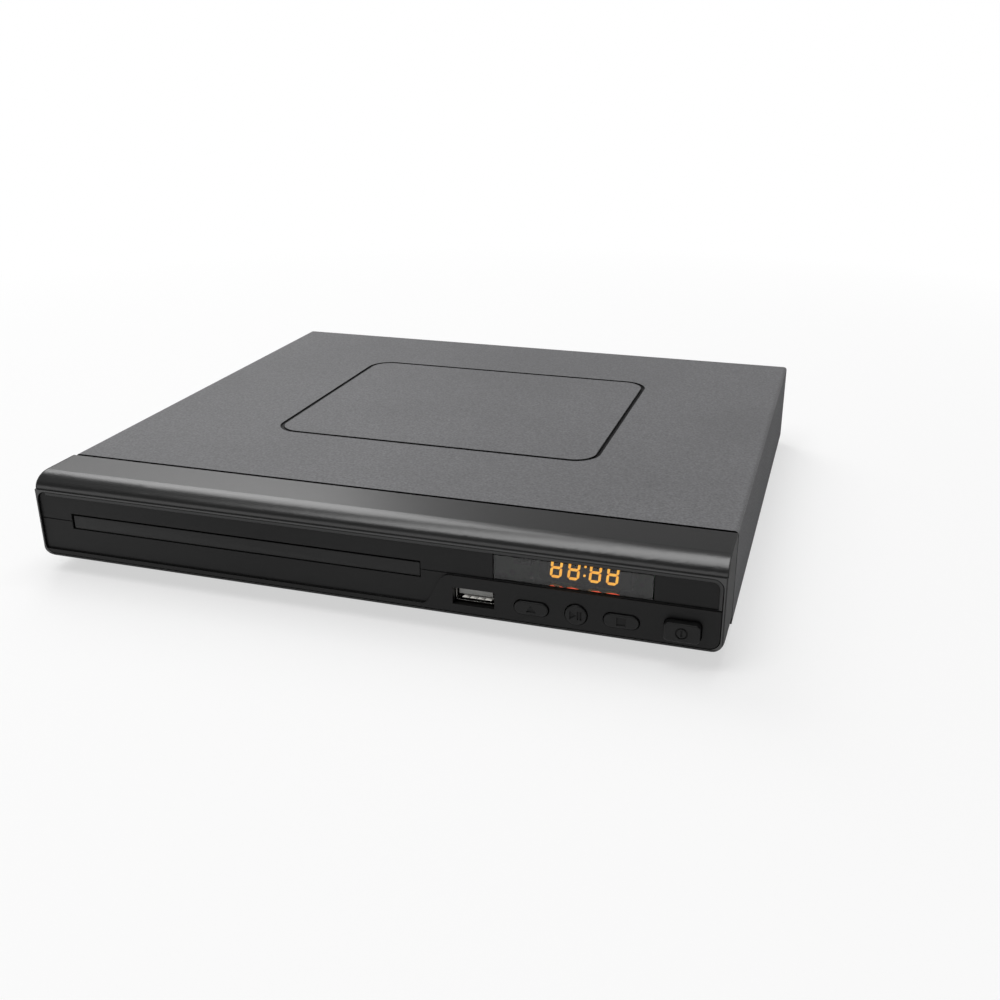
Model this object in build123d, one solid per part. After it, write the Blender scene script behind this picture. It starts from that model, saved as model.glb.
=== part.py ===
"""Flat disc player with a motor-driven tray, built as separate pieces.

Millimetres, +Z up, +X to the right seen from the front. While modelling, Y is measured back from the front
rim of the bezel; each finished piece is then shifted so that the origin is under the middle of the player.
"""
from build123d import *
from math import acos, atan2, cos, degrees, pi, radians, sin, sqrt, tan
import os

# Case
WIDTH = 240.0
DEPTH = 215.0
CASE_HEIGHT = 32.25
FOOT_HEIGHT = 4.0
SHEET = 0.8
SEAM = 22.0
FIT = 0.3
RUNNING_FIT = 0.05
FOOT_RADIUS = 7.0
FOOT_INSET_X = 24.0
FOOT_FRONT = 36.0
FOOT_REAR_INSET = 20.0
FOOT_CHAMFER = 0.8

# Top cover
GROOVE_LENGTH = 103.3
GROOVE_WIDTH = 127.8
GROOVE_FRONT = 68.5
GROOVE_RADIUS = 9.5
GROOVE_LINE = 1.1
GROOVE_SINK = 0.4
COVER_GAP = 1.3
COVER_FOLD = 1.4
FLANGE_TALL = 10.0
COVER_TAB_WIDTH = 14.0
COVER_TAB_DROP = 9.0
COVER_TAB_INSET = 22.0

# Front bezel
BEZEL_WALL = 2.2
NOSE_DEPTH = 7.2
NOSE_DROP = 4.7
CHIN_RISE = 3.0
CHIN_DEPTH = 16.0
LEDGE = 1.0
LOWER_RADIUS = 3.5
BEZEL_SPARE = 1.0
CORNER_RADIUS = 0.5
BEZEL_LUG = 7.0
FASCIA_RECESS = 0.8
FASCIA_THICK = 1.4
FASCIA_SIDE_RIM = 0.8
FASCIA_BOTTOM = 0.5
FASCIA_TOP = 24.0
FASCIA_RADIUS = 3.4
SEAT_RIM = 1.8
SEAT_THICK = 1.6

# Features of the fascia; heights are above the front bottom edge of the bezel, insets from its right side
SEAM_LINE_HEIGHT = 13.8
SEAM_LINE_WIDTH = 0.35
SEAM_LINE_SINK = 0.3
WINDOW_INSET = 72.0
WINDOW_WIDTH = 50.6
WINDOW_HEIGHT = 8.7
WINDOW_GAP = 0.35
BAND_FOOT_INSET = 95.6
BAND_SHOULDER_INSET = 86.4
BAND_TOP = 13.4
BAND_FOOT = 2.2
BAND_MARGIN = 0.3
PORT_INSET = 85.2
PORT_WIDTH = 13.9
PORT_BOTTOM = 3.5
PORT_HEIGHT = 5.85
PORT_SINK = 2.5
PORT_WALL = 0.35
PORT_ROUND = 0.6
PORT_TONGUE = 2.1
TONGUE_SINK = 0.4
PORT_ROOT = 2.5
POST_RADIUS = 2.0
POST_MARGIN = 3.2
POST_SPACING = 12.0

# Push buttons
BUTTON_HEIGHT = 5.9
KEY_PROUD = 0.7
POWER_PROUD = 2.5
EJECT_INSET = 59.2
PLAY_INSET = 44.95
STOP_INSET = 30.8
POWER_INSET = 12.15
KEY_WIDTH = 10.9
KEY_TALL = 4.5
PLAY_DIAMETER = 6.8
POWER_WIDTH = 10.9
POWER_TALL = 6.2
POWER_RADIUS = 1.4
KEY_TRAVEL = 0.5
POWER_TRAVEL = 2.5
FLANGE_WIDE = 0.9
FLANGE_THICK = 1.2
STEM_RADIUS = 1.5
SYMBOL_SINK = 0.35
EJECT_MARK = 3.1
PLAY_MARK = 2.9
STOP_MARK = 2.8
POWER_MARK = 3.8
SWITCH_SIZE = 6.2
SWITCH_DEEP = 4.5
STEM_GAP = 1.0
CAP_ROUND = 0.4
PLUNGER_SINK = 0.6

# Front board and display
FRONT_BOARD_Y = 14.0
BOARD_THICK = 1.6
FRONT_BOARD_INSET = 4.0
FRONT_BOARD_WIDTH = 86.0
FRONT_BOARD_BOTTOM = 8.4
FRONT_BOARD_TOP = 30.4
DISPLAY_INSET = 43.6
DISPLAY_WIDTH = 29.0
DISPLAY_TALL = 9.6
DISPLAY_SET_BACK = 4.2
DIGIT_PITCHES = (-9.0, -3.45, 3.3, 8.7)
DIGIT_WIDTH = 3.7
DIGIT_TALL = 6.9
SEGMENT_WIDTH = 0.75
SEGMENT_GAP = 0.3
DIGIT_LEAN = 0.09
SEGMENT_THICK = 0.3
RECEIVER_INSET = 65.0
RECEIVER_SIZE = 5.6

# Disc tray
DISC_DIAMETER = 120.0
TRAY_INSET = 78.6
SLOT_WIDTH = 130.6
SLOT_BOTTOM = 10.87
SLOT_HEIGHT = 5.73
DOOR_GAP = 0.4
DOOR_SINK = 1.5
DOOR_THICK = 2.0
DOOR_ROUND = 0.6
TRAY_WIDTH = 128.0
TRAY_TRAVEL = 128.0
TRAY_TALL = 3.2
TRAY_TOP_GAP = 0.5
DISC_RECESS = 2.0
DISC_GAP = 1.0
SMALL_DISC_DIAMETER = 82.0
SMALL_RECESS = 0.4
DISC_CENTRE_Y = 68.0
TRAY_CUTOUT = 50.0
RACK_X = 57.0
RACK_BACK = 2.8
RACK_TALL = 1.7
RACK_START = 8.0
RACK_SPARE = 1.8

# Loader frame
RAIL_GAP = 0.4
RAIL_WALL = 2.2
RAIL_FRONT = 6.0
RAIL_REAR = 166.0
RAIL_BOTTOM = 10.0
RAIL_TOP = 25.0
LEDGE_WIDE = 2.8
LEDGE_TALL = 1.4
TAB_LENGTH = 12.0
TAB_STARTS = (20.0, 104.0)
DECK_FRONT = 8.0
DECK_REAR = 36.0
DECK_BOTTOM = 13.0
DECK_THICK = 1.4
REAR_BAR = 10.0
LUG_RADIUS = 4.0
LUG_REACH = 4.0
LUG_FRONT_Y = 30.0
LUG_REAR_Y = 158.0

# Tray drive
GEAR_Y = 22.0
GEAR_MODULE = 1.0
TRAY_GEAR_TEETH = 22
PINION_TEETH = 12
BACKLASH = 0.25
GEAR_TALL = 1.9
PULLEY_RADIUS = 11.0
MOTOR_PULLEY_RADIUS = 4.0
PULLEY_TALL = 2.4
PULLEY_FLANGE = 0.4
PULLEY_GROOVE = 1.1
BELT_SIZE = 1.0
BELT_GAP = 0.3
LOADER_MOTOR_X = -6.0
LOADER_MOTOR_RADIUS = 12.0
LOADER_MOTOR_TALL = 6.5
MOTOR_ROUND = 0.8
HUB_RADIUS = 4.0
GEAR_POST_RADIUS = 1.5
MOTOR_SHAFT_RADIUS = 1.0

# Cam slider and traverse
CAM_TRAVEL = 22.0
CAM_FRONT = 38.5
CAM_THICK = 2.5
CAM_BOTTOM = 6.2
CAM_TOP = 18.6
CAM_LEFT = -36.0
CAM_RIGHT = 25.0
CAM_PIN_XS = (-10.0, 20.0)
CAM_PIN_RADIUS = 1.2
CAM_GUIDE_SPARE = 4.0
CAM_LIP = 1.0
CAM_LIP_RISE = 0.8
TILT = 3.0
TRAVERSE_HALF = 54.0
TRAVERSE_FRONT = 46.0
TRAVERSE_REAR = 152.0
TRAVERSE_BAR = 6.0
TRAVERSE_BOTTOM = 12.8
TRAVERSE_THICK = 3.2
PIVOT_Y = 148.0
PIVOT_RADIUS = 1.6
DAMPER_RADIUS = 2.8
DAMPER_TALL = 1.0
PLATE_THICK = 1.2
MECH_HEAD_TALL = 0.9

# Spindle and clamper
SPINDLE_MOTOR_RADIUS = 12.0
SPINDLE_MOTOR_TALL = 6.6
SPINDLE_NECK = 3.6
TURNTABLE_RADIUS = 15.0
TURNTABLE_SEAT = 22.6
TURNTABLE_RIM = 1.4
PAD_THICK = 0.4
PAD_INSET = 0.8
CONE_RADIUS = 7.4
CONE_TIP_RADIUS = 4.6
CONE_TALL = 2.0
CLAMPER_RADIUS = 14.0
CLAMPER_NECK = 10.0
CLAMPER_BOTTOM = 24.2
CLAMPER_DISC = 1.4
CLAMPER_PLAY = 1.0
BRIDGE_LENGTH = 32.0
BRIDGE_BOTTOM = 27.0
BRIDGE_THICK = 1.4
BRIDGE_RIB = 2.0
MAGNET_RADIUS = 8.0
MAGNET_TALL = 0.9

# Pickup and its drive
LENS_INNER = 24.0
PICKUP_TRAVEL = 34.0
PICKUP_HALF = 19.0
PICKUP_FRONT = 8.0
PICKUP_LENGTH = 22.0
PICKUP_BOTTOM = 10.5
PICKUP_TOP = 19.6
ARM_BOTTOM = 11.5
ARM_TOP = 16.4
ARM_WALL = 4.0
ROD_X = 24.0
ROD_Z = 14.0
ROD_RADIUS = 1.5
ROD_FRONT = 80.5
ROD_SEAT = 2.0
ROD_BLOCK = 3.0
ROD_GRIP = 1.1
OPENING_HALF = 22.0
OPENING_FRONT = 81.5
OPENING_SPARE = 3.0
LENS_HOLDER_X = 11.0
LENS_HOLDER_Y = 9.0
LENS_HOLDER_TALL = 3.6
LENS_TOP = 20.8
LENS_RADIUS = 2.2
LENS_RAISE = 0.6
LENS_SINK = 1.2
LENS_FOCUS = 0.6
LENS_GAP = 0.8
SLED_MODULE = 0.6
SLED_RACK_X = 31.0
SLED_RACK_FRONT = 70.0
SLED_RACK_SPARE = 6.0
SLED_RACK_WIDE = 3.0
SLED_RACK_BOTTOM = 11.2
SLED_RACK_TALL = 1.6
SLED_GEAR_Y = 108.0
SLED_SMALL_TEETH = 14
SLED_LARGE_TEETH = 36
SLED_PINION_TEETH = 12
SLED_BACKLASH = 0.16
SLED_GEAR_BOTTOM = 8.8
SLED_GEAR_TALL = 1.5
SLED_POST_RADIUS = 1.0
SLED_MOTOR_SIDE = 4.3
SLED_MOTOR_RADIUS = 7.5
SLED_MOTOR_GAP = 0.5
SLED_SHAFT = 0.8

# Boards at the back and the right
STANDOFF_TALL = 5.2
STANDOFF_RADIUS = 3.0
MAIN_INSET = 8.0
MAIN_WIDTH = 76.0
MAIN_DEPTH = 75.0
MAIN_REAR_GAP = 3.0
POWER_DEPTH = 60.0
BOARD_SPACING = 5.0
BOARD_HOLE_INSET = 4.0
MAIN_REAR_INSET = 16.0
SCREW_RADIUS = 1.25
SCREW_HEAD_RADIUS = 2.6
SCREW_HEAD_TALL = 1.6
SCREW_LENGTH = 5.0
SCREW_SLOT = 0.6

# Board components; chips and small cans are placed from the middle of the main board, the tall ones from the
# front left corner of the power board
CHIPS = (
    (-24.0, -4.0, 10.0, 20.0, 1.2),
    (24.0, -10.0, 9.0, 7.0, 1.5),
    (-20.0, -22.0, 12.0, 12.0, 1.8),
    (22.0, 14.0, 7.0, 7.0, 2.4),
)
SINK_BACK = -6.0
SINK_SIZE = 20.0
SINK_BASE = 4.0
FIN_COUNT = 5
FIN_THICK = 2.0
FIN_TALL = 7.0
SMALL_CANS = ((-28.0, 16.0), (-16.0, 16.0), (28.0, 4.0), (4.0, -26.0), (16.0, -26.0), (-4.0, 18.0))
SMALL_CAN_RADIUS = 2.6
SMALL_CAN_TALL = 9.0
LARGE_CANS = ((8.0, 14.0), (8.0, 27.0))
LARGE_CAN_RADIUS = 5.0
LARGE_CAN_TALL = 19.0
OUTPUT_CANS = ((62.0, 14.0), (62.0, 25.0))
OUTPUT_CAN_RADIUS = 4.0
OUTPUT_CAN_TALL = 15.0
CAN_ROUND = 0.5
TRANSFORMER_X = 26.0
TRANSFORMER_Y = 20.0
CORE_WIDTH = 24.0
CORE_DEPTH = 8.0
CORE_TALL = 19.0
COIL_WIDTH = 15.2
COIL_DEPTH = 20.0
COIL_TALL = 11.4
COIL_ROUND = 3.0

# Rear connectors
VIDEO_INSET = 22.0
VIDEO_WIDTH = 14.2
VIDEO_TALL = 5.0
VIDEO_DEEP = 12.0
VIDEO_PROUD = 0.5
VIDEO_WALL = 0.35
VIDEO_BACK = 2.0
VIDEO_TONGUE = 1.0
VIDEO_TONGUE_INSET = 2.4
VIDEO_TONGUE_SINK = 1.5
JACK_INSET = 80.0
JACK_PITCH = 12.0
JACK_COUNT = 4
JACK_RADIUS = 4.15
JACK_BORE = 1.7
JACK_PROUD = 9.0
JACK_BODY_DEEP = 9.0
JACK_BODY_TALL = 12.0
JACK_WALL = 0.5
JACK_SINK = 0.6
JACK_BACK = 2.0
INLET_INSET = 28.0
INLET_WIDTH = 16.6
INLET_TALL = 8.8
INLET_DEEP = 11.0
INLET_PIN_SPACING = 8.0
INLET_PIN_RADIUS = 1.2
INLET_FLANGE = 3.0
INLET_PROUD = 0.8
INLET_WALL = 1.0
INLET_BACK = 4.0
INLET_PIN_SINK = 1.0
VENT_COUNT = 9
VENT_LENGTH = 12.0
VENT_WIDE = 2.4
VENT_ROUND = 1.1
VENT_PITCH = 6.0
VENT_OFFSET = 56.0

# Ribbon cable
RIBBON_WIDTH = 16.0
RIBBON_THICK = 0.4
RIBBON_RISE = 3.0
RIBBON_INSET = 28.0
PLUG_MARGIN = 2.0
PLUG_DEPTH = 4.0

# Levels and places that follow from the sizes above
CASE_Z = FOOT_HEIGHT
FLOOR_Z = CASE_Z + SHEET
TOP_Z = CASE_Z + CASE_HEIGHT
EDGE_Z = CASE_Z + CHIN_RISE
HALF = WIDTH / 2
WINDOW_LEFT = HALF - WINDOW_INSET
BAND_LEFT = HALF - BAND_FOOT_INSET
BAND_SHOULDER = HALF - BAND_SHOULDER_INSET
PORT_LEFT = HALF - PORT_INSET
EJECT_X = HALF - EJECT_INSET
PLAY_X = HALF - PLAY_INSET
STOP_X = HALF - STOP_INSET
POWER_X = HALF - POWER_INSET
FRONT_BOARD_RIGHT = HALF - FRONT_BOARD_INSET
FRONT_BOARD_LEFT = FRONT_BOARD_RIGHT - FRONT_BOARD_WIDTH
DISPLAY_X = HALF - DISPLAY_INSET
RECEIVER_X = HALF - RECEIVER_INSET
TRAY_X = TRAY_INSET - HALF
FRONT = -LEDGE
FASCIA_FRONT = FRONT + FASCIA_RECESS
FASCIA_BACK = FASCIA_FRONT + FASCIA_THICK
SEAT_BACK = FASCIA_BACK + SEAT_THICK
BUTTON_Z = EDGE_Z + BUTTON_HEIGHT
SLOT_Z = EDGE_Z + SLOT_BOTTOM
SLOT_TOP = SLOT_Z + SLOT_HEIGHT
TRAY_TOP = SLOT_TOP - TRAY_TOP_GAP
TRAY_Z = TRAY_TOP - TRAY_TALL
TRAY_FRONT = FASCIA_FRONT + DOOR_SINK + DOOR_THICK
TRAY_REAR = GEAR_Y + TRAY_TRAVEL + RACK_SPARE
TRAY_HALF = TRAY_WIDTH / 2
RAIL_INNER = TRAY_HALF + RAIL_GAP
RAIL_OUTER = RAIL_INNER + RAIL_WALL
DECK_TOP = DECK_BOTTOM + DECK_THICK
GEAR_TOP = TRAY_Z - FIT
GEAR_BOTTOM = GEAR_TOP - GEAR_TALL
TRAY_GEAR_RADIUS = TRAY_GEAR_TEETH * GEAR_MODULE / 2
PINION_RADIUS = PINION_TEETH * GEAR_MODULE / 2
TRAY_GEAR_X = RACK_X - TRAY_GEAR_RADIUS
PULLEY_X = TRAY_GEAR_X - TRAY_GEAR_RADIUS - PINION_RADIUS
PULLEY_BOTTOM = DECK_TOP + FIT
PIN_Z = TRAVERSE_BOTTOM + TRAVERSE_THICK / 2
RING_TOP = TRAVERSE_BOTTOM + TRAVERSE_THICK
PLATE_BOTTOM = RING_TOP + DAMPER_TALL
PLATE_TOP = PLATE_BOTTOM + PLATE_THICK
LENS_Y = DISC_CENTRE_Y + LENS_INNER
PICKUP_Y = LENS_Y - PICKUP_FRONT
OPENING_REAR = PICKUP_Y + PICKUP_LENGTH + PICKUP_TRAVEL + OPENING_SPARE
ROD_REAR = OPENING_REAR + ROD_SEAT
SLED_RACK_REAR = SLED_RACK_FRONT + PICKUP_TRAVEL + SLED_RACK_SPARE
SLED_SMALL_RADIUS = SLED_SMALL_TEETH * SLED_MODULE / 2
SLED_LARGE_RADIUS = SLED_LARGE_TEETH * SLED_MODULE / 2
SLED_PINION_RADIUS = SLED_PINION_TEETH * SLED_MODULE / 2
SLED_GEAR_X = SLED_RACK_X + SLED_SMALL_RADIUS
SLED_CENTRES = SLED_LARGE_RADIUS + SLED_PINION_RADIUS
SLED_MOTOR_X = SLED_GEAR_X + SLED_MOTOR_SIDE
SLED_MOTOR_Y = SLED_GEAR_Y + sqrt(SLED_CENTRES**2 - SLED_MOTOR_SIDE**2)
BOARD_Z = FLOOR_Z + STANDOFF_TALL
BOARD_TOP = BOARD_Z + BOARD_THICK
REAR_INNER = DEPTH - SHEET
MAIN_RIGHT = HALF - MAIN_INSET
MAIN_LEFT = MAIN_RIGHT - MAIN_WIDTH
MAIN_REAR = DEPTH - MAIN_REAR_GAP
MAIN_FRONT = MAIN_REAR - MAIN_DEPTH
POWER_REAR = MAIN_FRONT - BOARD_SPACING
POWER_FRONT = POWER_REAR - POWER_DEPTH
VIDEO_X = HALF - VIDEO_INSET
JACK_XS = [HALF - JACK_INSET + JACK_PITCH * index for index in range(JACK_COUNT)]
INLET_X = INLET_INSET - HALF
RIBBON_X = MAIN_RIGHT - RIBBON_INSET
ORIGIN_Y = (DEPTH + JACK_PROUD + FRONT - POWER_PROUD) / 2


# Shared shapes
def block(x0, x1, y0, y1, z0, z1):
    """A box between two corners."""
    middle = ((x0 + x1) / 2, (y0 + y1) / 2, (z0 + z1) / 2)
    return Pos(*middle) * Box(x1 - x0, y1 - y0, z1 - z0)


def post(x, y, z0, z1, radius):
    """An upright cylinder."""
    return Pos(x, y, (z0 + z1) / 2) * Cylinder(radius, z1 - z0)


def peg(x, z, y0, y1, radius):
    """A cylinder lying front to back."""
    return Pos(x, (y0 + y1) / 2, z) * Rot(90, 0, 0) * Cylinder(radius, y1 - y0)


def axle(y, z, x0, x1, radius):
    """A cylinder lying left to right."""
    return Pos((x0 + x1) / 2, y, z) * Rot(0, 90, 0) * Cylinder(radius, x1 - x0)


def panel(width, tall, radius, x, z, y0, y1):
    """A rounded rectangle seen from the front, with its middle at x, z, between two depths."""
    corner = min(radius, width / 2, tall / 2)
    if corner > 0.49 * tall:
        outline = SlotOverall(width, tall) if width > tall else Circle(tall / 2)
    else:
        outline = RectangleRounded(width, tall, corner)
    return Pos(x, y1, z) * Rot(90, 0, 0) * extrude(outline, y1 - y0)


def front_plate(points, y0, y1):
    """A plate with a straight-sided outline in X and Z, between two depths."""
    outline = make_face(Polyline(*points, close=True))
    return Pos(0, y1, 0) * Rot(90, 0, 0) * extrude(outline, y1 - y0)


def group(pieces):
    """Separate solids that share one node."""
    return Compound([solid for piece in pieces for solid in piece.solids()])


def involute(angle):
    return tan(angle) - angle


def gear_face(teeth, module, backlash, phase):
    """Outline of a spur gear with 20 degree teeth; phase is where a tooth points, in radians."""
    pitch = teeth * module / 2
    base = pitch * cos(radians(20))
    root = pitch - 1.2 * module
    tip = pitch + 0.85 * module
    half_tooth = pi / (2 * teeth) - backlash / (2 * pitch)
    steps = 5
    radii = [root] + [max(root, base) + (tip - max(root, base)) * i / steps for i in range(steps + 1)]
    points = []
    for tooth in range(teeth):
        middle = phase + 2 * pi * tooth / teeth
        flank = []
        for radius in radii:
            pressure = acos(min(1, base / radius))
            flank.append((radius, half_tooth + involute(radians(20)) - involute(pressure)))
        points += [(r * cos(middle - a), r * sin(middle - a)) for r, a in flank]
        points += [(r * cos(middle + a), r * sin(middle + a)) for r, a in reversed(flank)]
    return make_face(Polyline(*points, close=True))


def gear(teeth, module, backlash, phase, x, y, z0, z1):
    return Pos(x, y, z0) * extrude(gear_face(teeth, module, backlash, phase), z1 - z0)


def rack(side, module, backlash, x, mesh_y, y0, y1, z0, z1, back):
    """A toothed bar along Y; teeth point to side (+1 or -1) and leave a gap at mesh_y on the pitch line x."""
    pitch = pi * module
    half_tooth = pitch / 4 - backlash / 2
    slope = tan(radians(20)) * module
    root_x = x - side * 1.2 * module
    tip_x = x + side * 0.85 * module
    points = [(root_x - side * back, y0), (root_x, y0)]
    first = int((y0 - mesh_y) / pitch) - 2
    for index in range(first, first + int((y1 - y0) / pitch) + 5):
        middle = mesh_y + (index + 0.5) * pitch
        foot = half_tooth + 1.2 * slope
        crown = half_tooth - 0.85 * slope
        if middle - foot > y0 and middle + foot < y1:
            points += [(root_x, middle - foot), (tip_x, middle - crown)]
            points += [(tip_x, middle + crown), (root_x, middle + foot)]
    points += [(root_x, y1), (root_x - side * back, y1)]
    return Pos(0, 0, z0) * extrude(make_face(Polyline(*points, close=True)), z1 - z0)


def screw(length, head_tall=SCREW_HEAD_TALL):
    """A pan-head screw pointing down, with the seat of its head at the origin."""
    head = post(0, 0, 0, head_tall, SCREW_HEAD_RADIUS)
    slots = block(-SCREW_HEAD_RADIUS * 0.7, SCREW_HEAD_RADIUS * 0.7, -SCREW_SLOT / 2, SCREW_SLOT / 2,
                  head_tall * 0.5, head_tall + 1)
    cross = slots + Rot(0, 0, 90) * slots
    return head - cross + post(0, 0, -length, 0, SCREW_RADIUS)


# Case
BUTTONS = (
    ("eject", EJECT_X, KEY_WIDTH, KEY_TALL, KEY_TALL / 2, KEY_PROUD, KEY_TRAVEL),
    ("play", PLAY_X, PLAY_DIAMETER, PLAY_DIAMETER, PLAY_DIAMETER / 2, KEY_PROUD, KEY_TRAVEL),
    ("stop", STOP_X, KEY_WIDTH, KEY_TALL, KEY_TALL / 2, KEY_PROUD, KEY_TRAVEL),
    ("power", POWER_X, POWER_WIDTH, POWER_TALL, POWER_RADIUS, POWER_PROUD, POWER_TRAVEL),
)
FOOT_YS = (FOOT_FRONT, DEPTH - FOOT_REAR_INSET)
FOOT_PLACES = [(side * (HALF - FOOT_INSET_X), y) for side in (-1, 1) for y in FOOT_YS]
COVER_SCREW_XS = (COVER_TAB_INSET - HALF, 0.0, HALF - COVER_TAB_INSET)
COVER_SCREW_Z = TOP_Z - SHEET - COVER_TAB_DROP / 2
BEZEL_SCREW_X = HALF - BEZEL_WALL - BEZEL_LUG / 2
BEZEL_SCREW_Y = (CHIN_DEPTH + SEAM) / 2
FASCIA_WIDTH = 2 * (HALF - FASCIA_SIDE_RIM)
FASCIA_TALL = FASCIA_TOP - FASCIA_BOTTOM
FASCIA_Z = EDGE_Z + (FASCIA_TOP + FASCIA_BOTTOM) / 2
SWITCH_FRONT = FRONT_BOARD_Y - SWITCH_DEEP
POST_PLACES = (
    (PORT_LEFT - POST_MARGIN, BUTTON_Z),
    ((STOP_X + POWER_X) / 2, BUTTON_Z),
    (WINDOW_LEFT - POST_SPACING, EDGE_Z + SEAM_LINE_HEIGHT + WINDOW_HEIGHT / 2),
    (WINDOW_LEFT + WINDOW_WIDTH + POST_SPACING, EDGE_Z + SEAM_LINE_HEIGHT + WINDOW_HEIGHT / 2),
)


def board_holes(front, rear, rear_inset):
    inset = BOARD_HOLE_INSET
    return [(x, y) for x in (MAIN_LEFT + inset, MAIN_RIGHT - inset) for y in (front + inset, rear - rear_inset)]


MAIN_HOLES = board_holes(MAIN_FRONT, MAIN_REAR, MAIN_REAR_INSET)
POWER_HOLES = board_holes(POWER_FRONT, POWER_REAR, BOARD_HOLE_INSET)
LUG_X = RAIL_OUTER + LUG_REACH
LUG_PLACES = [(TRAY_X + side * LUG_X, y) for side in (-1, 1) for y in (LUG_FRONT_Y, LUG_REAR_Y)]
LUG_TOP = RAIL_BOTTOM + 2.0


def inlet_outline(width, tall, y0, y1):
    return panel(width, tall, tall / 2, INLET_X, INLET_Z, y0, y1)


INLET_Z = BOARD_TOP + (INLET_TALL + INLET_FLANGE) / 2
JACK_Z = BOARD_TOP + JACK_BODY_TALL / 2
VIDEO_Z = BOARD_TOP + VIDEO_TALL / 2


def rear_cutouts():
    """Holes of the rear panel: connectors, mains inlet, cover screws and vent slots."""
    y0, y1 = REAR_INNER - 1, DEPTH + 1
    cuts = [panel(VIDEO_WIDTH + 2 * FIT, VIDEO_TALL + 2 * FIT, 0.8, VIDEO_X, VIDEO_Z, y0, y1)]
    cuts += [peg(x, JACK_Z, y0, y1, JACK_RADIUS + FIT) for x in JACK_XS]
    cuts += [inlet_outline(INLET_WIDTH + 2 * FIT, INLET_TALL + 2 * FIT, y0, y1)]
    cuts += [peg(x, COVER_SCREW_Z, y0, y1, SCREW_RADIUS + RUNNING_FIT) for x in COVER_SCREW_XS]
    first = INLET_X + VENT_OFFSET - (VENT_COUNT - 1) * VENT_PITCH / 2
    vent_z = COVER_SCREW_Z - VENT_LENGTH
    for index in range(VENT_COUNT):
        x = first + index * VENT_PITCH
        cuts.append(panel(VENT_WIDE, VENT_LENGTH, VENT_ROUND, x, vent_z, y0, y1))
    return cuts


def bottom_chassis():
    """Folded steel pan: floor, side flanges, rear panel and the board pillars."""
    half = HALF - SHEET - FIT
    tongue = HALF - BEZEL_WALL - FIT
    body = block(-half, half, SEAM + FIT, DEPTH, CASE_Z, FLOOR_Z)
    body += block(-tongue, tongue, CHIN_DEPTH + 2 * FIT, SEAM + FIT, CASE_Z, FLOOR_Z)
    body += block(-half, half, REAR_INNER, DEPTH, CASE_Z, TOP_Z - SHEET - FIT)
    for side in (-1, 1):
        edges = sorted((side * half, side * (half - SHEET)))
        body += block(*edges, SEAM + 2.0, DEPTH, CASE_Z, CASE_Z + FLANGE_TALL)
    for x, y in MAIN_HOLES + POWER_HOLES:
        body += post(x, y, FLOOR_Z, BOARD_Z, STANDOFF_RADIUS)
    for x, y in MAIN_HOLES + POWER_HOLES + LUG_PLACES:
        body -= post(x, y, CASE_Z - 1, BOARD_Z + 1, SCREW_RADIUS + RUNNING_FIT)
    for side in (-1, 1):
        body -= post(side * BEZEL_SCREW_X, BEZEL_SCREW_Y, CASE_Z - 1, FLOOR_Z + 1, SCREW_RADIUS + RUNNING_FIT)
    for cut in rear_cutouts():
        body -= cut
    return body


def groove_ring():
    """The pressed rounded-rectangle line on the top."""
    middle = Pos(0, GROOVE_FRONT + GROOVE_LENGTH / 2, TOP_Z - GROOVE_SINK)
    outer = RectangleRounded(GROOVE_WIDTH, GROOVE_LENGTH, GROOVE_RADIUS)
    inner = offset(outer, -GROOVE_LINE)
    return middle * extrude(outer - inner, GROOVE_SINK + 1)


def top_cover():
    """Folded steel cover with a groove on top and three screw tabs inside the rear panel."""
    shell = block(-HALF, HALF, SEAM + COVER_GAP, DEPTH, CASE_Z, TOP_Z)
    top_edges = shell.edges().filter_by(Axis.Y).group_by(Axis.Z)[-1]
    shell = fillet(top_edges, COVER_FOLD)
    inner = HALF - SHEET
    hollow = block(-inner, inner, SEAM - 1, DEPTH + 1, CASE_Z - 1, TOP_Z - SHEET)
    hollow = fillet(hollow.edges().filter_by(Axis.Y).group_by(Axis.Z)[-1], COVER_FOLD - SHEET)
    shell -= hollow
    shell -= groove_ring()
    back = REAR_INNER - FIT
    for x in COVER_SCREW_XS:
        half_tab = COVER_TAB_WIDTH / 2
        low, high = TOP_Z - SHEET - COVER_TAB_DROP, TOP_Z - SHEET / 2
        tab = block(x - half_tab, x + half_tab, back - SHEET, back, low, high)
        shell += tab - peg(x, COVER_SCREW_Z, back - SHEET - 1, back + 1, SCREW_RADIUS + RUNNING_FIT)
    return shell


def bezel_section():
    """Side view of the bezel: flat top, bullnose, a ledge, the upright lower front and a swept chin.

    It runs past the seam by a spare length, which is cut off after the ends are rounded.
    """
    rear = SEAM + BEZEL_SPARE
    nose_bottom = TOP_Z - NOSE_DROP
    pull = 0.45
    nose = [(NOSE_DEPTH, TOP_Z), (NOSE_DEPTH * pull, TOP_Z), (0, TOP_Z - NOSE_DROP * pull), (0, nose_bottom)]
    chin = [(FRONT, EDGE_Z), (1.5, CASE_Z + CHIN_RISE * 0.25), (CHIN_DEPTH * 0.4, CASE_Z), (CHIN_DEPTH, CASE_Z)]
    edges = [
        Line((rear, TOP_Z), (NOSE_DEPTH, TOP_Z)),
        Bezier(*nose),
        Line((0, nose_bottom), (FRONT, nose_bottom)),
        Line((FRONT, nose_bottom), (FRONT, EDGE_Z)),
        Bezier(*chin),
        Line((CHIN_DEPTH, CASE_Z), (rear, CASE_Z)),
        Line((rear, CASE_Z), (rear, TOP_Z)),
    ]
    return make_face(edges)


def port_hole(y0, y1):
    z = EDGE_Z + PORT_BOTTOM
    return block(PORT_LEFT, PORT_LEFT + PORT_WIDTH, y0, y1, z, z + PORT_HEIGHT)


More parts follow.
